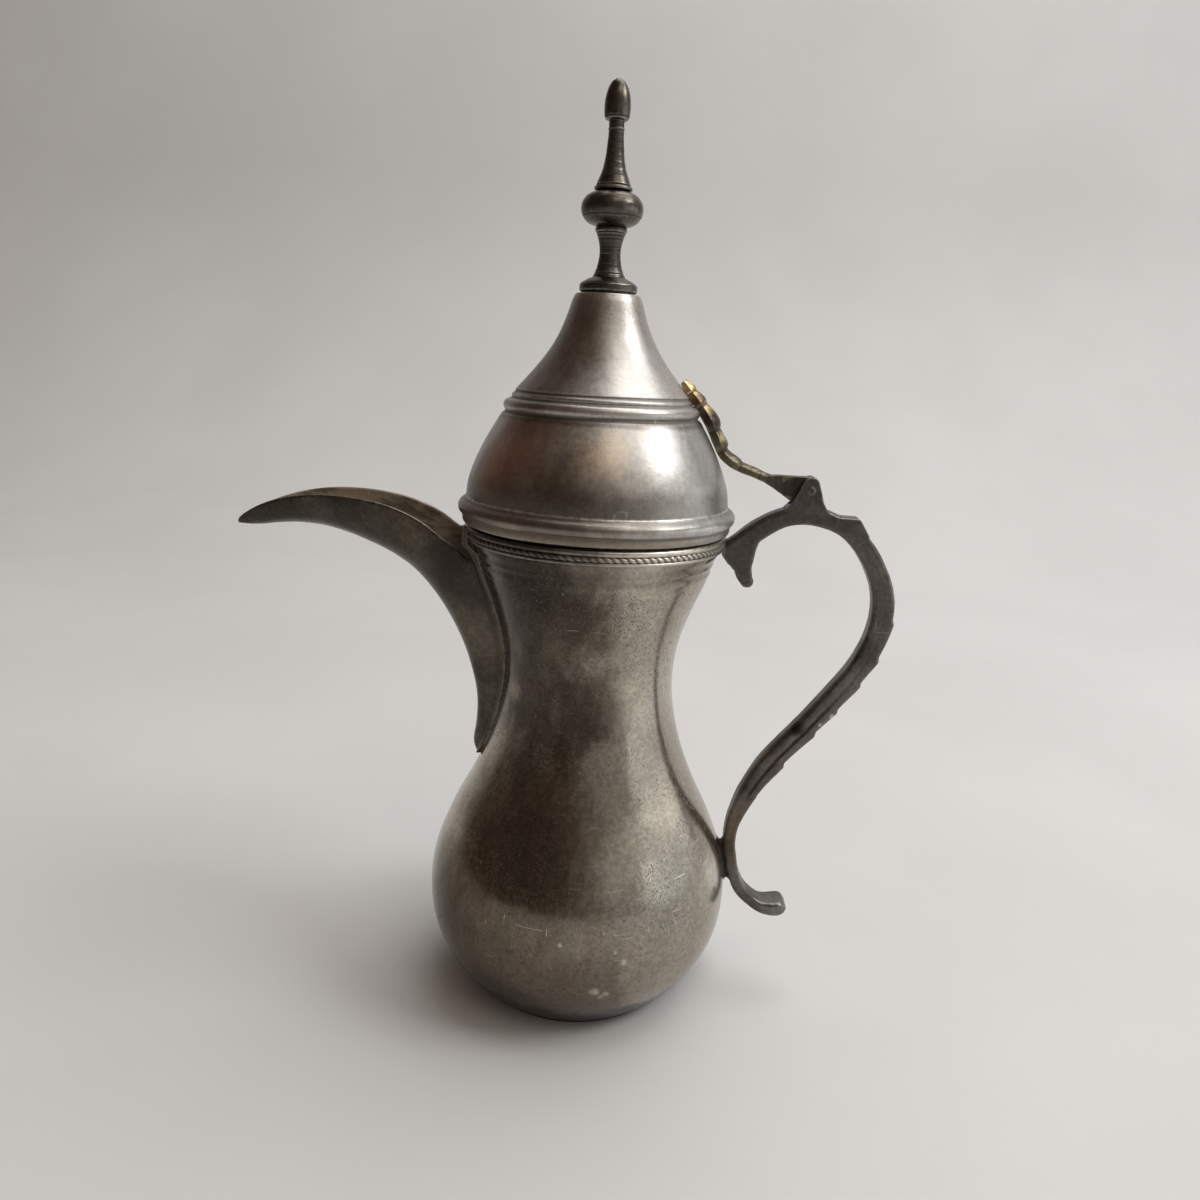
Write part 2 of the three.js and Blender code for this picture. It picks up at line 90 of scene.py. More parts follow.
# The grip from its lower curl to the rim: x, z, thickness, width.
GRIP = [(65.5, 27.1, 1.5, 4.6), (65.1, 26.9, 2.9, 7.2), (63.9, 26.5, 4.1, 8.7), (61.6, 26, 4.3, 8.9),
        (58, 26.1, 3.8, 7.8), (54.6, 27.9, 3.6, 6.4),
        (51, 31.3, 3.6, 6.2), (48.7, 36, 3.5, 6.2), (47.4, 41.5, 3.5, 6.2), (46.5, 47, 3.7, 6.2),
        (46.9, 53, 4, 6.2), (48.9, 59.5, 5.1, 6.3), (51.9, 66.2, 6.1, 6.4), (56, 73.4, 6.9, 6.4),
        (61, 80.2, 6.7, 6.4), (67, 87.8, 6.7, 6.4), (73, 96, 6.7, 6.4), (78.2, 103.8, 6.4, 6.4),
        (81.9, 111.4, 6.5, 6.4), (83.8, 119.4, 6.4, 6.4), (83.6, 127.4, 6.2, 6.4), (80.8, 135, 5.7, 6.4),
        (76, 142.2, 5.4, 6.4), (69.5, 147.2, 4.8, 6.4), (61.6, 149.6, 5.2, 6.4), (53.8, 148.8, 5.2, 6.4),
        (46.4, 144.6, 5.7, 6.4), (41.5, 140, 6.2, 6.4), (37, 136.6, 6, 6.4)]
LUG = [(45, 143.2, 5, 6.4), (43.6, 139.6, 5.6, 6.4), (42.9, 136.2, 5.9, 6.4), (43, 133.4, 5.1, 6.4),
       (43.8, 130.8, 4.3, 6.2), (44.5, 128.8, 2.6, 5.2)]
LUG_KNOB = [(0, 127.5), (1.5, 127.7), (2.3, 128.6), (2.4, 129.6), (1.7, 130.6), (0, 131)]
# Side outlines, as x, z: the web between lug and rim, the step behind the ears, the ears, their slot, the tongue.
WEB = [(38.2, 138.6), (38.6, 134.9), (39.9, 133.3), (41.2, 132.3), (41.8, 130.9), (43.4, 131), (42.8, 140)]
STEP = [(66.5, 149.4), (67.7, 150), (74.2, 149.8), (74.7, 149.2), (77.6, 144.8), (74.6, 142.6), (67.6, 146.6)]
EARS = [(54.9, 153), (57.5, 158.9), (58.2, 160.1), (59.4, 160.7), (60.8, 160.6), (61.8, 159.8), (62.7, 157.2),
        (63.7, 153.7), (65.2, 151.2), (67.7, 149.9), (74.1, 149.5), (77.4, 145), (74.6, 142.6), (67.6, 147),
        (60, 148.4), (52.6, 150.6)]
SLOT = [(50, 152.4), (57.6, 152.4), (58.8, 153.9), (68, 153.9), (68, 164), (50, 164)]
TONGUE = [(47, 160.2), (49.5, 160.5), (60.6, 160.6), (62, 159.9), (62.4, 157.8), (62.2, 156), (61.3, 154.9),
          (60, 154.5), (57.9, 154.5), (55.3, 153.1), (49.2, 157), (46.2, 158.6)]
LEAF = [(22, 184.6, 1.6, 3), (24.4, 181.9, 2.6, 7), (27.8, 177.8, 3.2, 9), (30.9, 173.2, 3.2, 9.4),
        (33.1, 168.6, 3, 9), (35.2, 165.1, 2.8, 7.6), (39, 162.5, 2.6, 6), (43.4, 160.9, 2.4, 4.4),
        (47.2, 159.5, 2.4, 3.4), (50, 158.8, 2.4, 2.8)]
# Where one leaf lobe of the grip stops and the next one's tip stands up, and where the last one ends: x, z.
GRIP_NOTCHES = [(54.1, 62.9), (61.3, 74.1), (69.7, 84.3), (75.8, 91.9), (81.9, 100.5), (85.5, 109.3), (87.5, 120.9)]
GRIP_LOBES_END = (73.5, 146)
# The beak, from its tip to its root: upper edge x, z; half width; keel x, z.
BEAK = [(-105.4, 138.6, 1, -106, 137.1), (-103, 140.3, 2.3, -102.6, 136.9), (-99, 142.6, 4.4, -98.4, 137.2),
        (-94, 144.8, 6.3, -93, 138), (-88, 146.6, 8, -86.4, 138.5), (-81, 147.8, 9.1, -79, 138),
        (-74, 148.1, 9.7, -72, 136.4), (-67, 147.8, 10.1, -65, 133.9), (-60, 146.8, 10.6, -58.2, 130.8),
        (-54, 145.1, 11.1, -52.2, 126.8), (-48, 142.4, 11.7, -47.2, 121.6), (-42.8, 138.8, 12, -43, 115.8),
        (-37.6, 135.2, 12.1, -39.4, 109.3), (-31.2, 129.4, 10.7, -36.7, 102.6), (-27.4, 122, 9, -34.8, 96.2),
        (-24.6, 113, 7.4, -33.6, 90.4), (-23.4, 104, 6.2, -33.3, 85), (-23.6, 95, 5.3, -33.6, 79.8),
        (-25.2, 86, 4.6, -34.1, 76.2), (-27.4, 79, 3.9, -34.2, 73.8), (-29, 74, 3.1, -33.6, 71.6),
        (-29.8, 71.4, 2.2, -32.8, 70.2)]
BEAK_SHEET = 1.2
SADDLE_SHEET = 1.35
# The saddle that carries the beak on the neck, and the opening in it: half width, height.
SADDLE = [(2.8, 70.8), (4.6, 74.5), (5.3, 82), (5.8, 90), (6.9, 102), (9, 114), (12, 127), (14.2, 137),
          (14.4, 142.6)]
SADDLE_OPENING = [(2, 76), (3.4, 86), (4.2, 96), (5.4, 107), (7.6, 120), (10.6, 133), (11, 146)]
# Rows of pour holes: height, count.
POUR_HOLES = [(104, 1), (110, 2), (116, 3), (122, 2)]


# ---- lines and profiles

def smooth_line(points, count):
    """A smooth line through points, the same curve as the CAD's."""
    p = np.array(points, float)
    last = len(p) - 1
    u = np.linspace(0, last, count)
    i = np.minimum(u.astype(int), last - 1)
    w = (u - i)[:, None]
    a, b, c, d = p[np.maximum(i - 1, 0)], p[i], p[i + 1], p[np.minimum(i + 2, last)]
    v, t = (c - a) / 2, (d - b) / 2
    return (2 * b - 2 * c + v + t) * w ** 3 + (-3 * b + 3 * c - 2 * v - t) * w ** 2 + v * w + b


def along_line(line):
    """Distance along a line of x, z, ..., and a finder of the distance at its nearest point to x, z."""
    along = np.concatenate([[0], np.cumsum(np.linalg.norm(np.diff(line[:, :2], axis=0), axis=1))])
    return along, lambda x, z: along[np.argmin(np.hypot(line[:, 0] - x, line[:, 1] - z))]


def turn(steps):
    """Equal steps of one full turn, without its end."""
    return np.linspace(0, 2 * pi, steps + 1)[:-1]


def circle(x, z, radius, sides):
    return [(x + radius * cos(a), z + radius * sin(a)) for a in turn(sides)]


def arc(radius, height, size, start, end, steps):
    """Points of an arc in the (radius, height) plane; degrees from straight outwards."""
    a = np.radians(np.linspace(start, end, steps + 1))
    return [(radius + size * cos(t), height + size * sin(t)) for t in a]


def beside(points, distance):
    """A line moved sideways: to the left of its direction when positive."""
    p = np.array(points, float)
    d = np.roll(p, -1, 0) - np.roll(p, 1, 0)
    d[0], d[-1] = p[1] - p[0], p[-1] - p[-2]
    d /= np.linalg.norm(d, axis=1)[:, None]
    return p + distance * np.stack([-d[:, 1], d[:, 0]], 1)


def eased(outline, size, steps=4):
    """A closed outline with its corners rounded."""
    p = np.array(outline, float)
    out = []
    for i, corner in enumerate(p):
        before, after = p[i - 1] - corner, p[(i + 1) % len(p)] - corner
        a, b = np.linalg.norm(before), np.linalg.norm(after)
        bend = acos(np.clip(-np.dot(before, after) / (a * b), -1, 1))
        if bend < radians(25):
            out.append(tuple(corner))
            continue
        reach = min(size, 0.4 * a, 0.4 * b)
        start, end = corner + before / a * reach, corner + after / b * reach
        for t in np.linspace(0, 1, steps + 1):
            out.append(tuple((1 - t) ** 2 * start + 2 * t * (1 - t) * corner + t ** 2 * end))
    return out


def dense(points, step):
    """The same line with extra points, so that none are further apart than step."""
    p = np.array(points, float)
    out = [p[0]]
    for a, b in zip(p[:-1], p[1:]):
        parts = max(1, ceil(np.linalg.norm(b - a) / step))
        out.extend(a + (b - a) * k / parts for k in range(1, parts + 1))
    return np.array(out)


def lines(profile, grooves):
    """Cuts or raises fine turned lines: each is height, depth (raised when negative) and width."""
    p = np.array(profile, float)
    for height, depth, width in grooves:
        p[:, 0] -= depth * np.exp(-(((p[:, 1] - height) / width) ** 2))
    return p


def softened(points, rounds, step=0.35):
    """A profile with its corners rounded off, as in spun sheet."""
    p = dense(points, step)
    for _ in range(rounds):
        p[1:-1] = 0.5 * p[1:-1] + 0.25 * (p[:-2] + p[2:])
    return p


def reached(profile, height):
    """Radius of a rising profile at a height."""
    p = np.array(profile, float)
    return float(np.interp(height, p[:, 1], p[:, 0]))


# ---- shells: (points, faces)

def lathe(profile, sides):
    """Turns a line about Z. Points on the axis become one point; a line off the axis is closed."""
    p = np.array(profile, float)
    closed = p[0, 0] > 1e-6 or p[-1, 0] > 1e-6
    angles = np.arange(sides) * 2 * pi / sides
    points, rows = [], []
    for radius, height in p:
        if radius < 1e-6:
            rows.append([len(points)] * sides)
            points.append((0, 0, height))
        else:
            rows.append(list(range(len(points), len(points) + sides)))
            points.extend((radius * cos(a), radius * sin(a), height) for a in angles)
    faces = []
    for k in range(len(rows) - (0 if closed else 1)):
        low, high = rows[k], rows[(k + 1) % len(rows)]
        for j in range(sides):
            n = (j + 1) % sides
            face = list(dict.fromkeys((low[j], low[n], high[n], high[j])))
            if len(face) > 2:
                faces.append(face)
    return np.array(points, float), faces


def skin(rings, closed_path=False):
    """Joins rings of points, all with the same count, into a closed shell."""
    count = len(rings[0])
    faces = []
    for i in range(len(rings) - (0 if closed_path else 1)):
        a, b = i * count, ((i + 1) % len(rings)) * count
        for j in range(count):
            n = (j + 1) % count
            faces.append([a + j, a + n, b + n, b + j])
    if not closed_path:
        last = (len(rings) - 1) * count
        faces.append(list(range(count))[::-1])
        faces.append(list(range(last, last + count)))
    return np.concatenate([np.array(r, float) for r in rings]), faces


def slab(outline, width):
    """A flat slab with a side outline in the XZ plane, centred on y = 0."""
    return skin([[(x, y, z) for x, z in outline] for y in (-width / 2, width / 2)])


def placed(shell, shift, scale=(1, 1, 1)):
    """A shell, scaled and then moved."""
    return shell[0] * np.array(scale) + np.array(shift), shell[1]


def front_slab(halves, depth):
    """A slab from the axis towards -X, with its outline given as (half width, height)."""
    outline = [(y, z) for y, z in halves] + [(-y, z) for y, z in halves[::-1]]
    return skin([[(x, y, z) for y, z in outline] for x in (-depth, -1)])


def pin_bore():
    """What is bored out along Y for the hinge's pin."""
    return slab(circle(PIN[0], PIN[2], PIN_BORE, 48), 16)


def swept(stations, count, section):
    """Sweeps section(step, thickness, width) along stations of x, z, thickness and width."""
    line = smooth_line(stations, count)
    d = np.gradient(line[:, :2], axis=0)
    d /= np.linalg.norm(d, axis=1)[:, None]
    rings = []
    for k, (x, z, thickness, width) in enumerate(line):
        out = np.array([d[k, 1], -d[k, 0]])
        rings.append([(x + out[0] * t, y, z + out[1] * t) for y, t in section(k, thickness, width)])
    return skin(rings)


def mirrored(half):
    """A closed section from its right half, which starts and ends in the middle."""
    right = [tuple(p) for p in half]
    return right + [(-a, b) for a, b in right[-2:0:-1]]


def joined(*shells):
    """Several shells as one, still overlapping."""
    points, faces, start = [], [], 0
    for p, f in shells:
        points.append(p)
        faces.extend([i + start for i in face] for face in f)
        start += len(p)
    return np.concatenate(points), faces


# ---- Blender objects, in mm until make() is done

def linked(name, data):
    """A new object in the scene."""
    obj = bpy.data.objects.new(name, data)
    bpy.context.scene.collection.objects.link(obj)
    return obj


def raw(name, shell):
    """A plain object from a shell."""
    points, faces = shell
    mesh = bpy.data.meshes.new(name)
    mesh.from_pydata([tuple(p) for p in points], [], faces)
    mesh.validate()
    obj = linked(name, mesh)
    face_out(obj)
    return obj


def face_out(obj):
    """Turns every face outwards."""
    b = bmesh.new()
    b.from_mesh(obj.data)
    bmesh.ops.recalc_face_normals(b, faces=b.faces)
    b.to_mesh(obj.data)
    b.free()


def apply(obj):
    """Turns an object's modifiers into its mesh."""
    graph = bpy.context.evaluated_depsgraph_get()
    mesh = bpy.data.meshes.new_from_object(obj.evaluated_get(graph))
    obj.modifiers.clear()
    obj.data = mesh


def fuse(obj, voxel, rounds):
    """Melts overlapping shells into one casting and softens its corners."""
    remesh = obj.modifiers.new("melt", "REMESH")
    remesh.mode = "VOXEL"
    remesh.voxel_size = voxel
    apply(obj)
    smooth = obj.modifiers.new("soften", "SMOOTH")
    smooth.factor = 0.5
    smooth.iterations = rounds
    apply(obj)


def cut(obj, shell, how="DIFFERENCE"):
    """Takes a shell out of an object, or keeps only what is inside it."""
    tool = raw("tool", shell)
    boolean = obj.modifiers.new("cut", "BOOLEAN")
    boolean.operation = how
    boolean.object = tool
    boolean.solver = "MANIFOLD"
    apply(obj)
    bpy.data.objects.remove(tool)


def dent(obj, amount, size, seed):
    """Slow uneven swelling, as from hand work: each point moves along its normal."""
    offset = Vector((seed * 7.3, seed * 3.1, seed * 5.7))
    normals = [v.normal.copy() for v in obj.data.vertices]
    for v, n in zip(obj.data.vertices, normals):
        v.co += n * (amount * noise.noise(v.co / size + offset))


def net(mesh):
    """Each vertex's place, both ends of each edge, and how many edges meet at each vertex."""
    places = np.zeros(len(mesh.vertices) * 3)
    mesh.vertices.foreach_get("co", places)
    ends = np.zeros(len(mesh.edges) * 2, int)
    mesh.edges.foreach_get("vertices", ends)
    meeting = np.bincount(ends, minlength=len(mesh.vertices)).clip(1)
    return places.reshape(-1, 3), *ends.reshape(-1, 2).T, meeting


# Bend, per mm, at which dirt and wear begin and are full.
WEATHER_RANGE = {"hollow": (0.05, 1.1), "sharp": (0.9, 2.6)}


def weathering(obj):
    """Stores how hollow and how sharp each point is, for dirt and wear, and whether it looks towards y = 0."""
    mesh = obj.data
    count = len(mesh.vertices)
    co, a, b, meeting = net(mesh)
    normal = np.zeros(count * 3)
    mesh.vertex_normals.foreach_get("vector", normal)
    normal = normal.reshape(-1, 3)
    step = co[b] - co[a]
    bend = ((normal[b] - normal[a]) * step).sum(1) / np.maximum((step ** 2).sum(1), 1e-4)
    hollow, sharp = np.zeros(count), np.zeros(count)
    for i in (a, b):
        np.maximum.at(hollow, i, -bend)
        np.maximum.at(sharp, i, bend)
    inward = mesh.attributes.new("inward", "FLOAT", "POINT")
    inward.data.foreach_set("value", np.clip(-np.sign(co[:, 1]) * normal[:, 1] * 3, 0, 1).astype(np.float32))
    for name, value in (("hollow", hollow), ("sharp", sharp)):
        value = np.clip(value, 0, 3)
        for _ in range(3):
            around = np.bincount(a, value[b], count) + np.bincount(b, value[a], count)
            value = 0.5 * value + 0.5 * around / meeting
        stored = mesh.attributes.new(name, "FLOAT", "POINT")
        low, high = WEATHER_RANGE[name]
        stored.data.foreach_set("value", np.clip((value - low) / (high - low), 0, 1).astype(np.float32))


def make(obj, name, body, nodes, material, crease=38):
    """Finishes a piece: metres, shading, weathering, material and its place in the frame."""
    obj.name = name
    mesh = obj.data
    mesh.name = name
    face_out(obj)
    for polygon in mesh.polygons:
        polygon.use_smooth = True
    mesh.set_sharp_from_angle(angle=radians(crease))
    weathering(obj)
    mesh.transform(Matrix.Scale(MM, 4))
    mesh.materials.clear()
    mesh.materials.append(material)
    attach(obj, body)
    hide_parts(*nodes)


# ---- materials

class Nodes:
    """A small helper for building a node tree."""

    def __init__(self, tree):
        self.tree = tree

    def add(self, kind, **values):
        node = self.tree.nodes.new("ShaderNode" + kind)
        for key, value in values.items():
            setattr(node, key, value)
        return node

    def put(self, socket, value):
        if isinstance(value, bpy.types.NodeSocket):
            self.tree.links.new(value, socket)
        else:
            socket.default_value = value

    def math(self, operation, a, b, clamp=False):
        node = self.add("Math", operation=operation, use_clamp=clamp)
        self.put(node.inputs[0], a)
        self.put(node.inputs[1], b)
        return node.outputs[0]

    def times(self, a, b):
        return self.math("MULTIPLY", a, b)

    def plus(self, a, b, clamp=False):
        return self.math("ADD", a, b, clamp)

    def minus(self, a, b, clamp=False):
        return self.math("SUBTRACT", a, b, clamp)

    def larger(self, a, b):
        return self.math("MAXIMUM", a, b)

    def ramp(self, value, low, high, a=0.0, b=1.0):
        node = self.add("MapRange", interpolation_type="SMOOTHSTEP")
        self.put(node.inputs["Value"], value)
        for key, number in (("From Min", low), ("From Max", high), ("To Min", a), ("To Max", b)):
            self.put(node.inputs[key], number)
        return node.outputs[0]

    def mix(self, factor, a, b, how="MIX"):
        node = self.add("Mix", data_type="RGBA", blend_type=how)
        self.put(node.inputs[0], factor)
        for socket, value in ((node.inputs[6], a), (node.inputs[7], b)):
            self.put(socket, (*value, 1.0) if isinstance(value, tuple) else value)
        return node.outputs[2]


class Graph(Nodes):
    """The nodes of one material."""

    def __init__(self, name):
        self.material = bpy.data.materials.new(name)
        self.material.use_nodes = True
        super().__init__(self.material.node_tree)
        self.shader = self.tree.nodes["Principled BSDF"]
        self.place = self.add("TexCoord").outputs["Object"]

    def noise(self, scale, detail=4.0, rough=0.55, stretch=None, seed=0.0):
        """Noise by features per metre, stretched along the axes when asked."""
        node = self.add("TexNoise")
        place = self.place
        if stretch or seed:
            mapping = self.add("Mapping")
            self.put(mapping.inputs["Vector"], place)
            mapping.inputs["Location"].default_value = (seed, seed * 0.7, seed * 1.3)
            mapping.inputs["Scale"].default_value = stretch or (1, 1, 1)
            place = mapping.outputs[0]
        self.put(node.inputs["Vector"], place)
        node.inputs["Scale"].default_value = scale
        node.inputs["Detail"].default_value = detail
        node.inputs["Roughness"].default_value = rough
        return node.outputs["Fac"]

    def attribute(self, name):
        return self.add("Attribute", attribute_name=name).outputs["Fac"]

    def axis(self, name):
        split = self.add("SeparateXYZ")
        self.put(split.inputs[0], self.place)
        return split.outputs[name]

    def around(self, centre, size):
        """1 at a point in the row frame and 0 beyond a distance, both in mm; the edge is uneven."""
        node = self.add("VectorMath", operation="DISTANCE")
        self.put(node.inputs[0], self.place)
        node.inputs[1].default_value = [c * MM for c in centre]
        uneven = 0.16 * size * MM
        rough = self.ramp(self.noise(130, 6, 0.6, stretch=(1.4, 1.4, 0.6), seed=centre[2] * 0.1), 0.3, 0.7,
                          -uneven, uneven)
        return self.ramp(self.plus(node.outputs["Value"], rough), 1.12 * size * MM, 0.2 * size * MM)

    def bump(self, *layers):
        """Adds up (height, strength in mm) and bends the surface by it."""
        total = None
        for height, depth in layers:
            part = self.times(height, depth * MM)
            total = part if total is None else self.plus(total, part)
        node = self.add("Bump")
        node.inputs["Strength"].default_value = 1.0
        node.inputs["Distance"].default_value = 1.0
        self.put(node.inputs["Height"], total)
        self.put(self.shader.inputs["Normal"], node.outputs[0])


def tarnish_and_painted_light(name, clean, patina, patches=(), bands=(), rough=(0.24, 0.46), cover=(0.3, 0.72), pits=0.6,
              specks=0.0, mottling=1.0, turned=0.0, dirt=(0.018, 0.014, 0.011), grime=0.85, worn=None, lining=None):
    """Old metal: clean and tarnish-covered areas, pits, dirt in hollows, bright worn edges, scratches, turning
    lines.

    A patch is x, y, z, size, red, green, blue, strength, and a band is low, high, fade, red, green, blue,
    strength; places and sizes are in mm. Besides stains, patches and bands also paint shade and highlights.
    A lining is the colour of a matt stain on the faces that look inwards.
    """
    g = Graph(name)
    brighter = lambda share: tuple(min(1.0, c * share) for c in clean)
    broad = g.noise(16, 4, 0.5)
    middle = g.noise(85, 6, 0.62)
    grain = g.noise(700, 4, 0.65)
    fine = g.noise(2300, 3, 0.6)
    blend = g.plus(g.times(broad, 0.55), g.times(middle, 0.45))
    tarnish = g.ramp(blend, *cover)
    colour = g.mix(tarnish, clean, patina)
    for *centre, size, red, green, blue, strength in patches:
        colour = g.mix(g.times(g.around(centre, size), strength), colour, (red, green, blue))
    for low, high, fade, red, green, blue, strength in bands:
        edge = g.times(g.minus(middle, 0.5), 2 * fade * MM)
        level = g.plus(g.axis("Z"), edge)
        within = g.times(g.ramp(level, (low - fade) * MM, low * MM), g.ramp(level, (high + fade) * MM, high * MM))
        colour = g.mix(g.times(within, strength), colour, (red, green, blue))
    mottle = g.ramp(grain, 0.34, 0.66, 1 - 0.18 * mottling, 1 + 0.14 * mottling)
    shade = g.add("CombineColor")
    for socket in shade.inputs[:3]:
        g.put(socket, mottle)
    colour = g.mix(1.0, colour, shade.outputs[0], "MULTIPLY")
    where = g.ramp(g.noise(45, 4, 0.6, seed=3.0), 0.4, 0.62, 0.25, 1.0)
    speck = g.times(g.ramp(fine, 0.55, 0.64), g.times(where, pits))
    colour = g.mix(speck, colour, dirt)
    if specks:
        pale = g.times(g.ramp(g.noise(2600, 3, 0.6, seed=5.0), 0.58, 0.68), specks)
        colour = g.mix(pale, colour, brighter(1.5))
    sharp = g.times(g.attribute("sharp"), g.ramp(grain, 0.35, 0.6, 0.35, 0.9))
    colour = g.mix(sharp, colour, worn or brighter(1.35))
    hollow = g.times(g.attribute("hollow"), grime)
    colour = g.mix(hollow, colour, dirt)
    down = g.ramp(g.noise(60, 2, 0.5, stretch=(22, 22, 1.6), seed=8.0), 0.69, 0.73)
    across = g.ramp(g.noise(60, 2, 0.5, stretch=(1.4, 1.4, 26), seed=9.0), 0.69, 0.73)
    scratch = g.times(g.larger(down, across), g.ramp(g.noise(30, 3, seed=6.0), 0.46, 0.6, 0.0, 0.6))
    colour = g.mix(scratch, colour, brighter(1.5))
    if lining:
        inward = g.attribute("inward")
        streaks = g.noise(90, 5, 0.65, stretch=(0.35, 9.0, 3.0), seed=4.0)
        stain = g.mix(g.ramp(streaks, 0.42, 0.6), lining, tuple(0.42 * c for c in lining))
        colour = g.mix(g.times(inward, 0.85), colour, stain)
    g.put(g.shader.inputs["Base Color"], colour)
    soiled = g.larger(hollow, speck)
    metallic = g.minus(g.minus(1.0, g.times(soiled, 0.6)), g.times(tarnish, 0.1), clamp=True)
    if lining:
        metallic = g.times(metallic, g.ramp(inward, 0, 1, 1.0, 0.35))
    g.put(g.shader.inputs["Metallic"], metallic)
    roughness = g.plus(g.ramp(blend, cover[0] - 0.05, cover[1] + 0.05, *rough), g.times(g.minus(grain, 0.5), 0.22))
    g.put(g.shader.inputs["Roughness"], g.plus(roughness, g.times(soiled, 0.25), clamp=True))
    layers = [(grain, 0.012), (g.times(speck, -1.0), 0.02), (fine, 0.004)]
    if turned:
        layers.append((g.noise(1.0, 3, 0.6, stretch=(6, 6, 1500), seed=2.0), 0.012 * turned))
    g.bump(*layers)
    return g.material


body_metal = tarnish_and_painted_light(
    "body_metal", (.42, .385, .325), (.32, .28, .225), rough=(.14, .23), pits=0.9, turned=0.15, grime=0.6,
    specks=0.17,
    patches=[
        (-18, -24, 124, 29, .038, .029, .021, .92), (-1, -30, 123, 18, .062, .048, .035, .9),
        # (-14, -32, 136) is dark patina with painted shade under the rings' overhang on the left.
        (-14, -32, 136, 17, .02, .015, .012, .8), (-14, -21, 98, 26, .052, .04, .031, .9),
        (2, -25, 96, 16, .052, .041, .031, .85), (8, -24, 103, 8, .14, .118, .09, .6),
        (-14, -42, 62, 36, .14, .108, .09, .87), (-22, -38, 24, 36, .115, .088, .062, .9),
        (2, -43, 20, 26, .15, .118, .092, .87), (-30, -34, 52, 13, .22, .12, .085, .45),
        (-24, -36, 74, 7, .22, .12, .085, .4), (-8, -26, 112, 5, .14, .12, .09, .6),
        # The pale patches on the right, at (17, -31, 124), (15, -33, 136), (13, -24, 102), (20, -22, 96), (18, -30,
        # 62), (41, -15, 42), (24, -9, 104), (15, -36.8, 55) and (23.6, -32.3, 11.5), are cleaner metal brightened
        # into painted reflections of the lit side of the room.
        (17, -31, 124, 14, .46, .43, .35, .6), (15, -33, 136, 9, .78, .73, .62, .7),
        (13, -24, 102, 6, .58, .56, .46, .5), (20, -22, 96, 12, .6, .58, .48, .5),
        (13, -33, 72, 12, .3, .285, .235, .8), (26, -37, 48, 19, .25, .24, .21, .8),
        (18.5, -22.5, 79, 14, .225, .212, .182, .8), (31.5, -25, 53, 11, .2, .192, .172, .75),
        (18, -30, 62, 7, .54, .515, .445, .7), (41, -15, 42, 10, .68, .66, .6, .7),
        (24, -9, 104, 18, .64, .62, .56, .35), (15, -36.8, 55, 11, .5, .47, .395, .65),
        (-35.5, -26, 36, 21, .062, .039, .024, .82), (23.6, -32.3, 11.5, 9, .58, .55, .48, .55),
        (8.9, -43.3, 20.3, 1.9, .6, .56, .48, .75), (12.2, -42.6, 19.2, 1.3, .6, .56, .48, .7),
        (10.8, -42.8, 17.8, 1.1, .6, .56, .48, .7), (13.9, -43.4, 33.2, 1.0, .62, .58, .5, .7),
        (16.5, -42.4, 29.9, 1.2, .62, .58, .5, .7), (-1.0, -45.3, 35.5, .8, .6, .56, .48, .7),
        (-19.7, -15.6, 96.6, 4.2, .34, .3, .235, .6),
    ],
    # Both bands are painted shade: the bottom of the belly, where its own shadow and the floor's contact shadow
    # show, and the recessed collar under the rings.
    bands=[(-2, 7.5, 4.5, .016, .013, .01, .95), (134.5, 139, 4, .06, .047, .035, .4)])
lid_metal = tarnish_and_painted_light(
    "lid_metal", (.475, .46, .435), (.39, .365, .335), rough=(.31, .4), pits=0.45, turned=0.12, grime=0.5,
    dirt=(.05, .04, .03), specks=0.15, mottling=0.5,
    patches=[
        # The dark patches on the left and front, at (-6, -37, 151), (-11, -10, 190), (-31, -22, 145.5) and (-18,
        # -20, 177), are dark tarnish deepened into painted shade on the side away from the light.
        (-27, -25, 156, 23, .235, .14, .1, .78), (-6, -37, 151, 20, .145, .112, .086, .75),
        (-11, -10, 190, 20, .165, .135, .108, .8), (-31, -22, 145.5, 15, .085, .064, .05, .8),
        (-27, -24, 156, 9, .46, .235, .165, .6), (-21, -23, 168, 11, .5, .285, .205, .6),
        # The warm pale spot at (2, -33, 166) is a painted reflection of warm light.
        (-18, -20, 177, 14, .15, .11, .085, .65), (2, -33, 166, 9, .66, .53, .39, .55),
        # The pale cool patches at (31, -19, 160) and (31, -20, 147.5) are painted light on the side the window
        # lights.
        (31, -19, 160, 17, .5, .515, .52, .6), (31, -20, 147.5, 12, .66, .67, .67, .8),
        (-5, -8.5, 202, 8, .2, .17, .145, .55), (8.2, -36.2, 156, 1.1, .008, .007, .006, 1.0),
    ],
    # The band from 151 to 154.5 darkens the foot of the dome, and the bands at 173.2 and 179.4 darken the grooves
    # under the mouldings: painted shade. The band from 143 to 145.7 is a darker brown lower edge.
    bands=[
        (151, 154.5, 4.5, .158, .148, .128, .68), (143, 145.7, .8, .22, .185, .135, .65),
        (173.2, 174.4, 1.0, .12, .1, .085, .55), (179.4, 180.0, .6, .14, .12, .1, .4),
    ])
rim_metal = tarnish_and_painted_light(
    "rim_metal", (.47, .44, .385), (.34, .305, .255), rough=(.26, .38), pits=0.3, grime=0.9,
    worn=(.44, .41, .36),
    # The large dark patch over the left and front is painted shade, and the pale patch at the front right is a
    # painted highlight on the rings.
    patches=[(-22, -30, 141, 38, .026, .02, .016, .95), (18, -31, 140, 16, .74, .71, .63, .8)])
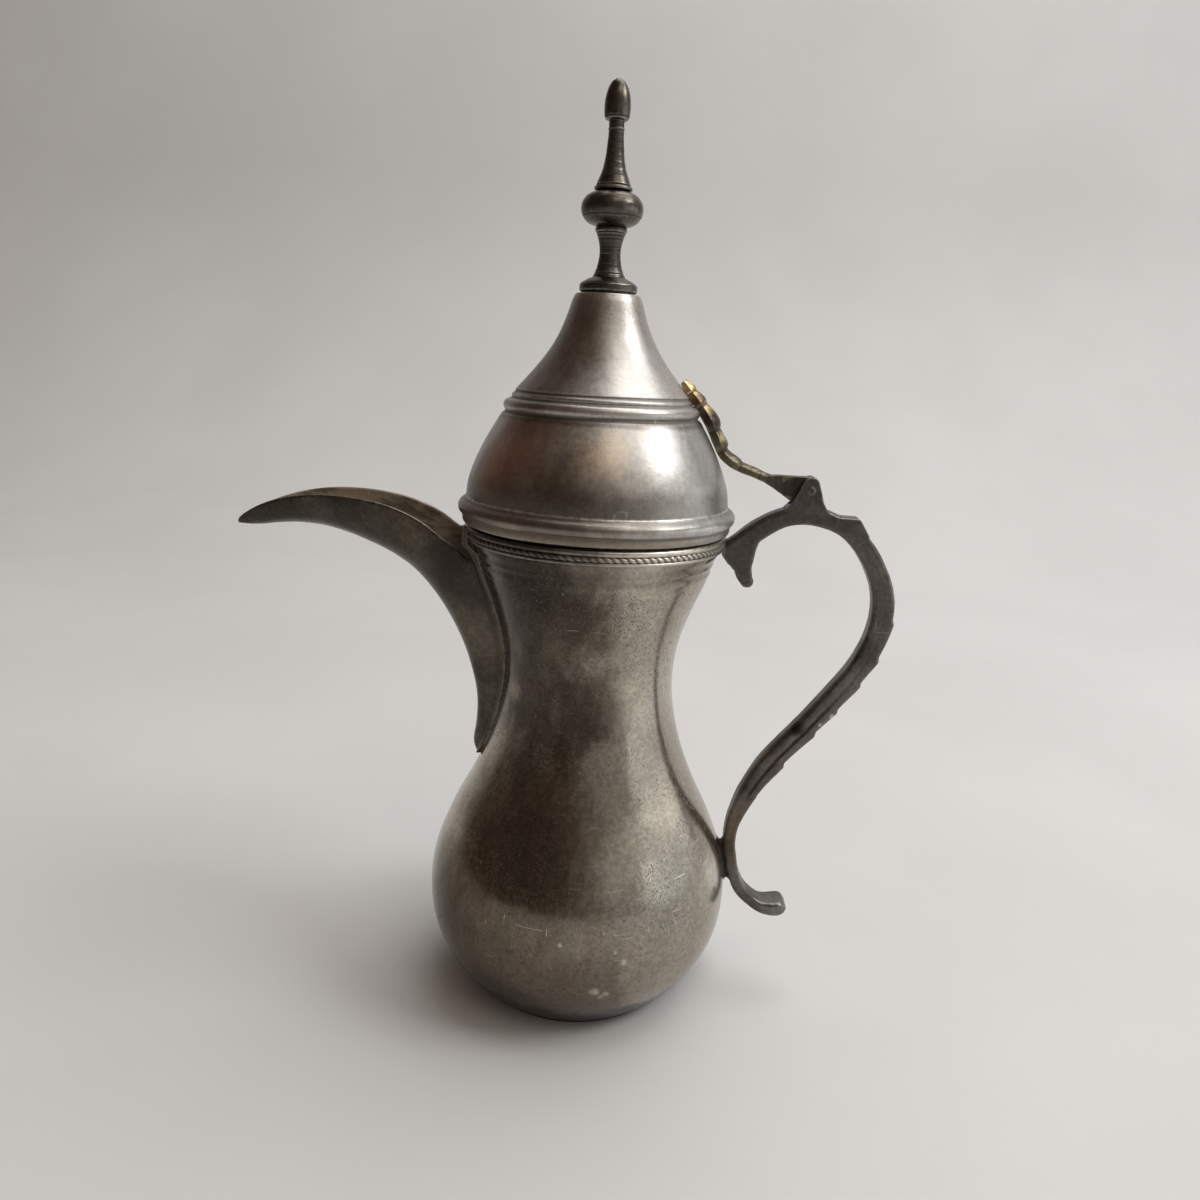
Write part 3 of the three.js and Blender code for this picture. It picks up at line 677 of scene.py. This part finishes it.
cast_metal = tarnish_and_painted_light(
    "cast_metal", (.185, .167, .148), (.09, .081, .073), rough=(.25, .42), pits=0.35, cover=(.36, .62),
    worn=(.3, .285, .25), grime=0.8,
    patches=[
        (63.2, -3, 86, 3.2, .016, .014, .016, .9), (73.1, -3, 90.7, 1.1, .62, .6, .54, .75),
        (69.6, -3, 88.0, .8, .62, .6, .54, .75), (47, -3, 50, 12, .15, .11, .07, .6),
        # (44.5, 0, 46) darkens the grip's inner face beside the belly: painted shade between the parts.
        (44.5, 0, 46, 6, .03, .02, .015, .7), (69, -3, 149, 5, .085, .078, .072, .6),
        # (62, -3, 27.5) lightens the top of the curl: painted light on its upper face.
        (62, -3, 27.5, 7, .24, .235, .225, .6), (80, -3, 112, 8, .048, .044, .041, .75),
    ])
spout_metal = tarnish_and_painted_light(
    "spout_metal", (.125, .106, .08), (.05, .042, .034), rough=(.2, .36), pits=0.45, cover=(.36, .62),
    worn=(.2, .17, .13), lining=(.38, .31, .235), grime=0.8,
    patches=[
        (-92, -5, 141, 22, .03, .027, .022, .75), (-70, -9, 146, 9, .028, .026, .022, .6),
        (-52, -11, 128, 9, .13, .115, .085, .4), (-36, -10, 108, 12, .15, .13, .104, .6),
        # (-38, -12, 134) darkens the beak's root by the neck: painted shade where the channel enters the neck.
        (-38, -12, 134, 8, .035, .028, .024, .7),
    ])
turned_metal = tarnish_and_painted_light(
    "turned_metal", (.135, .12, .1), (.066, .058, .048), rough=(.22, .34), pits=0.3, turned=0.6,
    worn=(.34, .32, .28))
leaf_metal = tarnish_and_painted_light(
    "leaf_metal", (.2, .18, .125), (.11, .098, .068), rough=(.3, .46), pits=0.4, worn=(.36, .32, .2),
    dirt=(.03, .02, .015), grime=0.7,
    patches=[
        (23.4, -2, 183.5, 5.2, .8, .58, .29, .9), (27.2, -3, 179.6, 3.0, .2, .1, .07, .8),
        (29.6, -2, 178.2, 2.6, .74, .54, .27, .85), (31, -3, 174.4, 4.4, .05, .035, .033, .92),
        (34.6, -2, 170.8, 2.4, .78, .7, .34, .9), (36.4, -3, 167.2, 3.2, .075, .036, .03, .92),
        # (58, 0, 157) darkens the tongue between the ears: painted shade in the slot.
        (58, 0, 157, 13, .045, .039, .038, .95),
    ])
# The foot's dark colour is painted shade: the recessed ring under the belly in its own shadow.
foot_metal = tarnish_and_painted_light(
    "foot_metal", (.1, .088, .07), (.045, .038, .03), rough=(.34, .5), pits=0.5)
dull_metal = tarnish_and_painted_light(
    "dull_metal", (.27, .24, .19), (.16, .14, .11), rough=(.36, .52), pits=0.5, turned=0.6)


# ---- the pot

hinge = next(j for j in frame["joints"] if j["name"] == "lid_hinge")
assert (Vector(hinge["pos_m"]) / MM - Vector(PIN)).length < 0.01

FOOT_RADIUS, _, FOOT_TOP = low_high("foot_ring")[1]
LIP = low_high("vessel_body")[1][2]

body_line = smooth_line(BODY, 170)


def pot_envelope():
    """What the spout and the handle are soldered against, grown by the solder's gap."""
    side = beside(body_line, -SOLDER_GAP)
    top = LIP + 1
    return lathe([(0, 1), (33, 1), *side, (RINGS_RADIUS, 137.6), (RINGS_RADIUS, top), (0, top)], 160)


def pot_body():
    """The spun body: outside, lip, inside and bottom, with the holes behind the beak."""
    collar = [(34.9, 136.0), (COLLAR_RADIUS, 137.4), (COLLAR_RADIUS, LIP - 0.35)]
    side = lines(body_line, [(131.6, -0.16, 0.75), (134.4, -0.18, 0.6), (133.0, 0.1, 0.7)])
    outside = dense([*side, *collar], 0.8)
    inside = beside([*body_line[:-1], (COLLAR_RADIUS, 137.6), (COLLAR_RADIUS, LIP)], SHEET)[::-1]
    lip = arc(COLLAR_RADIUS - 0.5, LIP - 0.5, 0.5, 10, 170, 8)
    floor = FOOT_TOP + 0.3
    bottom = [(0, floor), (15, floor), (29.6, floor), (31.8, floor + 0.15)]
    pan = [(31.0, floor + SHEET), (15, floor + SHEET), (0, floor + SHEET)]
    inside = inside[(inside[:, 1] < LIP - 1.2) & (inside[:, 1] > floor + SHEET + 1.0)]
    obj = raw("pot_body", lathe([*bottom, *outside, *lip, *inside, *pan], 256))
    for height, holes in POUR_HOLES:
        for k in range(holes):
            ring = circle((k - (holes - 1) / 2) * HOLE_PITCH, height, HOLE_RADIUS, 24)
            cut(obj, skin([[(x, y, z) for y, z in ring] for x in (-34, -18)]))
    dent(obj, 0.1, 17, 1)
    make(obj, "pot_body", "pot", ["vessel_body"], body_metal)


def base_sheet():
    """The disc that closes the foot, with fine turning rings underneath."""
    radius, _, top = low_high("base_plate")[1]
    under = [(r, 0.1 + 0.05 * cos(r * 4.2)) for r in np.linspace(0.8, radius - 1.2, 110)]
    profile = [(0, 0.32), *under, (radius - 0.5, 0.02), (radius, 0.4), (radius, top - 0.3), (radius - 0.4, top),
               (0, top)]
    make(raw("base", lathe(profile, 160)), "base_sheet", "pot", ["base_plate"], dull_metal)


def foot_band():
    """The low ring that the pot stands on."""
    inner, outer = FOOT_RADIUS - 2.6, FOOT_RADIUS
    outline = eased([(inner, 0), (outer - 0.3, 0), (outer + 0.1, 0.7), (outer - 0.3, FOOT_TOP + 0.5),
                     (inner, FOOT_TOP + 0.1)], 0.4)
    make(raw("foot", lathe(outline, 224)), "foot_band", "pot", ["foot_ring"], foot_metal)


def rim_ring(name, node, low, high, radius):
    """A half-round moulding soldered round the collar."""
    size = (high - low) / 2
    outline = [(COLLAR_RADIUS + 0.02, low), *arc(radius - size, (low + high) / 2, size, -90, 90, 14),
               (COLLAR_RADIUS + 0.02, high)]
    obj = raw(name, lathe(outline, 256))
    dent(obj, 0.04, 9, 3)
    make(obj, name, "pot", [node], rim_metal)


def rim_rope():
    """A wire of two strands, twisted so that its notches slant down to the right."""
    turns, steps, around = 58, 58 * 20, 16
    centre, height, size = 36.58, 140.38, 0.82
    rings, notches = [], []
    for i in range(steps):
        angle = 2 * pi * i / steps
        ring = []
        for j in range(around):
            a = 2 * pi * j / around
            depth = abs(cos(a + turns * angle))
            notches.append(min(1.0, 1.25 * (1 - depth) ** 1.3))
            r = size * (0.6 + 0.4 * depth ** 0.6)
            radius = centre + r * cos(a)
            ring.append((radius * cos(angle), radius * sin(angle), height + r * sin(a)))
        rings.append(ring)
    obj = raw("rope", skin(rings, closed_path=True))
    make(obj, "rim_rope", "pot", ["rope_wire"], rim_metal, crease=70)
    obj.data.attributes["hollow"].data.foreach_set("value", np.array(notches, np.float32))


def spout_beak():
    """The open beak, melted together with the saddle that holds it on the neck."""
    steps = 26
    rings = []
    for edge_x, edge_z, half, keel_x, keel_z in smooth_line(BEAK, 190):
        up = np.array([edge_x - keel_x, edge_z - keel_z])
        depth = float(np.linalg.norm(up))
        up /= depth
        sheet = min(BEAK_SHEET, half * 0.45)
        a = pi * (np.arange(steps + 1) / steps - 0.5)
        outer = np.stack([half * np.sin(a), depth * (1 - np.cos(a))], 1)
        inner = np.stack([(half - sheet) * np.sin(a), sheet + (depth - sheet) * (1 - np.cos(a))], 1)
        lip = [(half - sheet * share, depth + rise) for share, rise in ((0.2, 0.16), (0.5, 0.24), (0.8, 0.16))]
        outline = [*outer, *lip, *inner[::-1], *[(-y, t) for y, t in lip[::-1]]]
        rings.append([(keel_x + up[0] * t, y, keel_z + up[1] * t) for y, t in outline])
    side = beside(body_line, -SADDLE_SHEET)
    side = side[(side[:, 1] > 69) & (side[:, 1] < 131)]
    cap = 38.9
    saddle = raw("saddle", lathe([(0, side[0, 1]), *side, (cap - 0.2, 138.5), (cap, LIP - 0.4), (cap - 0.5, LIP),
                                  (0, LIP)], 160))
    cut(saddle, front_slab(smooth_line(SADDLE, 40), 60), "INTERSECT")
    cut(saddle, front_slab(SADDLE_OPENING, 60))
    points = np.array([v.co[:] for v in saddle.data.vertices])
    faces = [list(p.vertices) for p in saddle.data.polygons]
    bpy.data.objects.remove(saddle)
    obj = raw("beak", joined(skin(rings), (points, faces), saddle_seam()))
    fuse(obj, 0.3, 3)
    blend_root(obj)
    cut(obj, pot_envelope())
    make(obj, "spout_beak", "pot", ["spout_trough"], spout_metal, crease=50)


def neck_radius(height):
    """Radius of the pot's outside from the belly up to the rings."""
    if height > 137:
        return 37.6
    return reached(body_line, height) if height < 135 else 34.5 + (height - 135) * 1.2


def saddle_seam():
    """A thin raised bead along the edge of the saddle, on both sides of the neck."""
    shells = []
    for side in (-1, 1):
        path = []
        for half, height in smooth_line(SADDLE, 90):
            radius = neck_radius(height) + 1.15
            path.append((-sqrt(radius ** 2 - (half - 0.25) ** 2), side * (half - 0.25), height - 0.2))
        shells.append(tube(path, 0.24))
    return joined(*shells)


def tube(path, radius):
    """A round wire along a path of points."""
    p = np.array(path, float)
    d = np.gradient(p, axis=0)
    d /= np.linalg.norm(d, axis=1)[:, None]
    a = np.cross(d, (0.0, 1.0, 0.0))
    a /= np.linalg.norm(a, axis=1)[:, None]
    b = np.cross(d, a)
    return skin([[q + radius * (cos(t) * m + sin(t) * n) for t in turn(10)] for q, m, n in zip(p, a, b)])


def blend_root(obj):
    """Softens the corner where the beak meets its saddle, so that the wall sweeps into it."""
    mesh = obj.data
    co, a, b, meeting = net(mesh)
    away = np.hypot(co[:, 0], co[:, 1]) - np.array([neck_radius(z) for z in co[:, 2]])
    rise = np.interp(away, [0.9, 1.7, 3.4, 5.0], [0, 1, 1, 0])
    rise *= np.interp(co[:, 2], [72, 76, 139, 143], [0, 1, 1, 0])
    opening, heights = np.array(SADDLE_OPENING).T
    inside = np.abs(co[:, 1]) < np.interp(co[:, 2], heights, opening) - 0.3
    weight = np.where(inside, 0, rise)[:, None] * 0.6
    for _ in range(26):
        around = np.zeros_like(co)
        np.add.at(around, a, co[b])
        np.add.at(around, b, co[a])
        co = co + weight * (around / meeting[:, None] - co)
    mesh.vertices.foreach_set("co", co.ravel())
    mesh.update()


# Half of the grip's section, from its inner to its outer face: share of the width, share of the thickness.
PLAIN = [(0, -.5), (.28, -.5), (.44, -.45), (.49, -.36), (.5, -.2), (.5, -.05), (.5, .02), (.5, .08), (.5, .15),
         (.5, .28), (.48, .38), (.42, .46), (.30, .5), (.15, .5), (0, .5)]
LEAFY = [(0, -.5), (.20, -.5), (.33, -.45), (.42, -.32), (.46, -.14), (.455, -.03), (.425, .03), (.45, .08),
         (.495, .14), (.505, .28), (.47, .40), (.36, .49), (.22, .475), (.12, .43), (0, .37)]


def grip():
    """The handle's bow, with leaf lobes that step up along its back."""
    count = 420
    along, nearest = along_line(smooth_line(GRIP, count))
    marks = [nearest(x, z) for x, z in GRIP_NOTCHES]
    top = nearest(*GRIP_LOBES_END)
    bounds = [*marks, top]

    def section(k, thickness, width):
        s = along[k]
        leaf = np.interp(s, [marks[0] - 3, marks[0] + 1, top - 4, top], [0, 1, 1, 0])
        step = 0.0
        for low, high in zip(bounds[:-1], bounds[1:]):
            if low <= s < high:
                share = (s - low) / (high - low)
                step = 0.85 * share ** 1.4 * min(1.0, (high - s) / 1.1) - 0.2
                if high == top:
                    step = 0.1 * sin(pi * share)
        step *= leaf
        groove = leaf * np.interp(s, [marks[2], marks[4]], [1.0, 0.2])
        half = smooth_line((1 - groove) * np.array(PLAIN) + groove * np.array(LEAFY), 34)
        y, t = half[:, 0] * width, half[:, 1] * thickness
        t = t + step * np.interp(half[:, 1], [0.05, 0.4], [0, 1])
        ripple = leaf * 0.1 * (noise.noise(Vector((s / 2.6, 0, 0))) + 0.5)
        y = y - ripple * np.interp(half[:, 1], [0.1, 0.2, 0.45], [0, 1, 0.4])
        return mirrored(zip(y, t))

    return swept(GRIP, count, section)


def rounded_section(k, thickness, width):
    """The plain section of the grip, the same at every step."""
    return mirrored(smooth_line([(a * width, b * thickness) for a, b in PLAIN], 20))


def handle_casting():
    """The handle: web, bow, lug, ears, knob and step melted into one, then slotted and bored for the hinge."""
    knob = placed(lathe(LUG_KNOB, 24), (44.6, 0, 0.2), (0.8, 1.2, 1.0))
    obj = raw("handle", joined(slab(WEB, 6.3), grip(), swept(LUG, 60, rounded_section),
                               slab(eased(EARS, 0.8), HANDLE_WIDTH), knob, slab(STEP, 6.5)))
    fuse(obj, 0.24, 3)
    dent(obj, 0.07, 5, 5)
    dent(obj, 0.035, 1.6, 6)
    cut(obj, slab(SLOT, SLOT_WIDTH))
    cut(obj, pin_bore())
    cut(obj, pot_envelope())
    make(obj, "handle_casting", "pot", ["handle"], cast_metal, crease=50)


def handle_pad():
    """The solder between the belly and the handle, spread a little on both."""
    low, high = low_high("handle_foot_pad")
    middle, half = (low[2] + high[2]) / 2, (high[2] - low[2]) / 2
    stem = smooth_line(GRIP, 300)
    stem = stem[(stem[:, 1] > 30) & (stem[:, 1] < 60) & (stem[:, 0] < 52)]
    squared = lambda v: np.sign(v) * abs(v) ** 0.6
    rings = []
    for k in range(13):
        share = k / 12
        spread = 1.0 + 0.22 * (2 * share - 1) ** 2
        rows = []
        for a in turn(40):
            y = 2.9 * spread * squared(cos(a))
            z = middle + half * spread * squared(sin(a))
            start = sqrt(reached(body_line, z) ** 2 - y * y) - 0.05
            end = float(np.interp(z, stem[:, 1], stem[:, 0] - stem[:, 2] / 2)) + 0.15
            rows.append((start + (end - start) * share, y, z))
        rings.append(rows)
    make(raw("pad", skin(rings)), "handle_pad", "pot", ["handle_foot_pad"], cast_metal)


def hinge_rivet():
    """The pin, with both ends hammered into low heads."""
    half = 3.32
    side = [(0, -half), (0.6, -half + 0.02), (1.0, -half + 0.08), (1.14, -half + 0.2), (1.12, -half + 0.42)]
    points, faces = lathe(dense([*side, *[(r, -z) for r, z in side[::-1]]], 0.6), 40)
    shell = placed((points[:, [0, 2, 1]], faces), PIN, (1, 1, -1))
    make(raw("rivet", shell), "hinge_rivet", "pot", ["hinge_pin"], cast_metal)


# ---- the lid

RIM_LINE = softened([(37.5, 143.5), (38.0, 143.6), (38.25, 144.1), (38.3, 145.4), (38.2, 146.0),
                     *arc(37.35, 147.75, 2.15, -42, 66, 22), (37.75, 150.1), (37.2, 150.9)], 3)
MOULDING = softened([(27.7, 173.9), (27.0, 174.4), *arc(25.75, 176.1, 1.8, -58, 76, 20), (25.2, 178.0),
                     *arc(24.6, 178.8, 0.7, -50, 62, 10), (24.35, 179.7), (24.1, 180.0), (24.2, 180.2)], 5)
lid_outside = [*RIM_LINE, *smooth_line(DOME, 46), *MOULDING, *smooth_line(CONE, 42)]


def lid_dome():
    """The spun lid, one sheet from its seat in the rim up to the crown."""
    top = 206.6
    crown = [(9.25, 205.7), *arc(8.3, top - 0.75, 0.75, 10, 90, 6), (5, top), (ROD_BORE, top)]
    inner = beside([(38.1, 144.8), *smooth_line(DOME, 24), *smooth_line(CONE, 24)[1:]], SHEET)[::-1]
    ceiling = [(ROD_BORE, top - 1.0), (7.8, top - 1.0)]
    seat = [(37.1, 144.4), (34.9, 144.4), (34.9, 143.6), (35.2, 143.5)]
    profile = dense([*lid_outside, *crown, *ceiling, *inner[1:], *seat], 0.9)
    obj = raw("lid", lathe(profile, 256))
    dent(obj, 0.11, 15, 11)
    make(obj, "lid_dome", "lid", ["lid_shell"], lid_metal)


def lid_collar():
    """The collar inside the lid, which centres it in the mouth."""
    outline = eased([(31.2, 139.8), (32.2, 139.8), (33.8, 144.2), (33.8, 144.7), (36.4, 144.7), (36.4, 145.5),
                     (32.8, 145.5), (32.8, 144.2)], 0.3)
    shell = lathe(dense([*outline, outline[0]], 0.8)[:-1], 224)
    make(raw("collar", shell), "lid_collar", "lid", ["lid_bezel"], dull_metal)


# The leaf's lobes: where each one stops along it, as x, z, and how far it stands out.
LEAF_LOBES = [(22.0, 184.8, 0.0), (24.6, 181.9, 0.55), (27.8, 178.4, 0.6), (31.9, 171.9, 0.95), (36.1, 167.4, 0.8),
              (40.2, 163.6, 0.6), (45.6, 160.4, 0.15)]


def lid_leaf():
    """The lobed leaf on the lid, melted together with the hinge's tongue."""
    count = 260
    along, nearest = along_line(smooth_line(LEAF, count))
    stops = [nearest(x, z) for x, z, _ in LEAF_LOBES]

    def section(k, thickness, width):
        s = along[k]
        step, wide = 0.0, 0.84
        for i in range(1, len(stops)):
            low, high = stops[i - 1], stops[i]
            if low <= s < high and high > low:
                share = (s - low) / (high - low)
                swell = 1.5 * share ** 0.9 * (1 - share ** 5)
                step = LEAF_LOBES[i][2] * swell
                wide = 0.74 + 0.22 * swell
        rows = []
        for j in range(19):
            y = j / 9 - 1
            edge = 1 - abs(y) ** 3
            rib = 0.32 * exp(-((y / 0.16) ** 2))
            side = 0.24 * cos(2 * pi * (abs(y) * 1.7 + s * 0.42)) * min(1.0, abs(y) * 3) * edge
            height = thickness / 2 * (0.35 + 0.65 * edge) + edge * (step + rib + side * 0.7)
            rows.append((y * width * wide / 2, height))
        return rows + [(y, -thickness / 2) for y, _ in rows[::-1]]

    # The sweep's outer face is on the far side of its direction, so it runs from the hinge up.
    shell = swept(LEAF[::-1], count, lambda k, thickness, width: section(count - 1 - k, thickness, width))
    obj = raw("leaf", joined(shell, slab(eased(TONGUE, 0.5), TONGUE_WIDTH)))
    fuse(obj, 0.17, 2)
    dent(obj, 0.06, 2.2, 14)
    cut(obj, lathe([(0, 143), (38.0, 143), *beside(lid_outside, -0.05), (0, 204.6)], 160))
    cut(obj, pin_bore())
    # The tongue's sides are cut flat, so that it fits its slot.
    waste = 8.0
    for side in (-1, 1):
        block = slab([(52.0, 150), (66, 150), (66, 165), (52.0, 165)], waste)
        cut(obj, placed(block, (0, side * (waste + TONGUE_WIDTH) / 2, 0)))
    make(obj, "lid_leaf", "lid", ["lid_strap"], leaf_metal, crease=50)


# ---- the finial

def strung(outside):
    """A turned piece's outline, with the bore of the rod through it."""
    return [(ROD_BORE, outside[0][1]), *outside, (ROD_BORE, outside[-1][1])]


def lathe_marks(low, high, pitch, depth):
    """Fine uneven tool lines between two heights."""
    heights = np.arange(low, high, pitch)
    return [(h, depth * (0.5 + 0.5 * sin(7.1 * h)), pitch * 0.3) for h in heights]


def finial_piece(node, profile, sides=96):
    """One turned piece; the length of its name is the seed of its dents."""
    name = node + "_turned"
    obj = raw(name, lathe(profile, sides))
    dent(obj, 0.03, 3, len(name))
    make(obj, name, "lid", [node], turned_metal)


def finial():
    """The turned pieces on the lid, from the disc up to the tip."""
    disc = [(7.0, 206.75), (7.5, 206.95), (7.85, 207.4), (7.9, 208.2), (7.85, 208.9), (7.5, 209.35), (6.6, 209.9),
            (5.6, 210.45), (4.7, 210.85), (4.4, 210.95)]
    disc = lines(dense(smooth_line(disc, 50), 0.3), [(207.1, 0.12, 0.15), (209.3, 0.1, 0.14)])
    finial_piece("finial_disc", strung(disc), 128)

    spool = smooth_line([(4.4, 211.0), (4.15, 211.7), (3.45, 213.4), (2.95, 216), (2.9, 218), (3.25, 220.2),
                         (3.8, 221.8), (4.25, 222.6), (4.3, 223.2), (4.1, 223.7)], 120)
    marks = [(211.9, 0.18, 0.14), (222.3, 0.22, 0.14), (221.4, 0.12, 0.12), (218.6, 0.12, 0.12), (216.8, 0.1, 0.1)]
    finial_piece("finial_spool", strung(lines(spool, marks + lathe_marks(212.4, 221, 0.55, 0.06))))

    ball = [(3.9, 223.75), *arc(4.15, 228.25, 4.2, -76, 76, 44), (3.9, 232.75)]
    finial_piece("finial_ball", strung(lines(dense(ball, 0.25), [(226.3, 0.1, 0.13), (230.9, 0.05, 0.1)])), 128)

    foot = [(4.6, 232.8), (5.1, 233.05), (5.15, 233.5), (5.0, 233.75)]
    stem = smooth_line([(4.75, 234.0), (4.1, 235.6), (3.2, 238), (2.55, 241), (2.25, 244), (2.05, 247),
                        (2.05, 249.9)], 110)
    marks = [(234.05, 0.35, 0.16), (247.9, -0.16, 0.18), (247.4, 0.12, 0.14), (248.5, 0.1, 0.14)]
    finial_piece("finial_stem", strung([*foot, *lines(stem, marks + lathe_marks(236, 247, 0.6, 0.07))]))

    tip = smooth_line([(2.2, 250.0), (2.95, 250.2), (3.3, 250.9), (3.42, 252.2), (3.45, 253.8), (3.25, 255.6),
                       (2.75, 257.4), (1.9, 259.0), (0.9, 259.8), (0.0, 260.0)], 70)
    profile = [(0, 254.0), (ROD_BORE, 254.0), (ROD_BORE, 250.0), *lines(tip, [(250.7, 0.1, 0.2)])[:-1], (0, 260.0)]
    finial_piece("finial_tip", profile)


def finial_inside():
    """The rod, the washer and the nut that hold the finial, under the top of the lid."""
    start, end = (corner[2] for corner in low_high("finial_rod"))
    thread = [(0.86 + 0.05 * cos(2 * pi * h / 0.7), h) for h in np.arange(start + 0.4, start + 7, 0.12)]
    profile = [(0, start), (0.6, start), *thread, (0.9, start + 7.2), (0.9, end), (0, end)]
    make(raw("rod", lathe(profile, 32)), "finial_rod_bar", "lid", ["finial_rod"], dull_metal)

    outline = eased([(ROD_BORE, 204.5), (4.4, 204.5), (4.4, 205.3), (ROD_BORE, 205.3)], 0.2)
    make(raw("washer", lathe(outline, 64)), "finial_washer_disc", "lid", ["finial_washer"],
         dull_metal)

    rings = []
    for bevel, height in ((0.25, 201.8), (0.0, 202.1), (0.0, 203.9), (0.25, 204.2)):
        radius = 2.9 - bevel
        corners = [(radius * cos(k * pi / 3), radius * sin(k * pi / 3)) for k in range(6)]
        rings.append([(x, y, height) for x, y in eased(corners, 0.35)])
    nut = raw("nut", skin(rings))
    cut(nut, lathe([(0, 200), (ROD_BORE, 200), (ROD_BORE, 206), (0, 206)], 32))
    make(nut, "finial_nut_hex", "lid", ["finial_nut"], dull_metal)


pot_body()
base_sheet()
foot_band()
rim_ring("rim_bead", "neck_bead", 138.6, 139.62, 37.05)
rim_rope()
rim_ring("mouth_band", "mouth_ring", 141.05, 142.85, 37.55)
spout_beak()
handle_casting()
handle_pad()
hinge_rivet()
lid_dome()
lid_collar()
lid_leaf()
finial()
finial_inside()


# ---- stage, camera and lights

def stage():
    """A plain pale floor that sweeps up behind, in metres."""
    half, back, radius, height, front = 3.0, 0.95, 0.4, 1.5, -4.0
    rows = [(y, 0.0) for y in (front, -1.0, 0.1, back - radius)]
    for a in np.linspace(0, pi / 2, 13)[1:]:
        rows.append((back - radius + radius * sin(a), radius - radius * cos(a)))
    rows.append((back, height))
    points = [(x, y, z) for y, z in rows for x in (-half, 0, half)]
    corners = [i * 3 + j for i in range(len(rows) - 1) for j in range(2)]
    faces = [(a, a + 1, a + 4, a + 3) for a in corners]
    mesh = bpy.data.meshes.new("floor")
    mesh.from_pydata(points, [], faces)
    for polygon in mesh.polygons:
        polygon.use_smooth = True
    floor = linked("floor", mesh)
    g = Graph("floor_paint")
    tone = g.ramp(g.noise(5, 3), 0.35, 0.65)
    g.put(g.shader.inputs["Base Color"], g.mix(tone, (0.645, 0.643, 0.638), (0.675, 0.673, 0.668)))
    g.put(g.shader.inputs["Roughness"], 0.75)
    g.bump((g.noise(900, 3), 0.03))
    mesh.materials.append(g.material)


def camera():
    """The camera at the photograph's angle."""
    pitch, roll, yaw = radians(14.214), radians(3.11), radians(3.0)
    ahead = Vector((-cos(pitch) * sin(yaw), cos(pitch) * cos(yaw), -sin(pitch)))
    side = Vector((cos(yaw), sin(yaw), 0))
    up = side.cross(ahead)
    right = side * cos(roll) + up * sin(roll)
    top = up * cos(roll) - side * sin(roll)
    data = bpy.data.cameras.new("camera")
    data.lens = 28.5
    data.sensor_width = 36
    data.clip_start = 0.01
    obj = linked("camera", data)
    obj.matrix_world = Matrix.Translation((0.016556, -0.27081, 0.1895)) @ Matrix(
        (right, top, -ahead)).transposed().to_4x4()
    bpy.context.scene.camera = obj


LIGHT_AIM = Vector((0, 0, 0.12))


def softbox(name, azimuth, elevation, distance, size, watts, colour):
    """An area light; azimuth is in degrees from the camera's side, towards +X."""
    a, e = radians(azimuth), radians(elevation)
    way = Vector((sin(a) * cos(e), -cos(a) * cos(e), sin(e)))
    data = bpy.data.lights.new(name, "AREA")
    data.shape = "RECTANGLE"
    data.size, data.size_y = size
    data.energy = watts
    data.color = colour
    obj = linked(name, data)
    obj.location = LIGHT_AIM + way * distance
    obj.rotation_euler = way.to_track_quat("Z", "Y").to_euler()


ROOM_DARK = (0.1, 0.073, 0.056)
ROOM_RIGHT = (0.52, 0.49, 0.45)
ROOM_HIGH_LEFT = (0.105, 0.06, 0.04)
ROOM_HIGH = (0.42, 0.38, 0.33)


def world():
    """A room that is dark in front and to the left, and brighter to the right and overhead."""
    w = bpy.data.worlds.new("room")
    w.use_nodes = True
    n = Nodes(w.node_tree)
    split = n.add("SeparateXYZ")
    n.put(split.inputs[0], n.add("TexCoord").outputs["Generated"])
    x, y, z = split.outputs
    azimuth = n.math("ARCTAN2", x, n.times(y, -1.0))
    right = n.ramp(azimuth, radians(-22), radians(58))
    high = n.ramp(z, 0.2, 0.8)
    tone = n.mix(right, ROOM_DARK, ROOM_RIGHT)
    overhead = n.mix(n.ramp(azimuth, radians(-45), radians(50)), ROOM_HIGH_LEFT, ROOM_HIGH)
    n.put(w.node_tree.nodes["Background"].inputs["Color"], n.mix(high, tone, overhead))
    bpy.context.scene.world = w


stage()
camera()
world()
softbox("window", 80, 43, 1.5, (0.6, 0.38), 7.2, (0.975, 0.99, 1.0))
softbox("upper_glow", 36, 54, 1.5, (0.8, 0.45), 2.0, (1.0, 0.93, 0.85))
softbox("right_wall", 84, 4, 1.35, (1.45, 0.46), 2.2, (0.98, 0.99, 1.0))
softbox("ceiling", 138, 70, 1.7, (1.6, 1.3), 18.0, (0.985, 0.995, 1.0))

bpy.context.scene.view_settings.view_transform = "Standard"
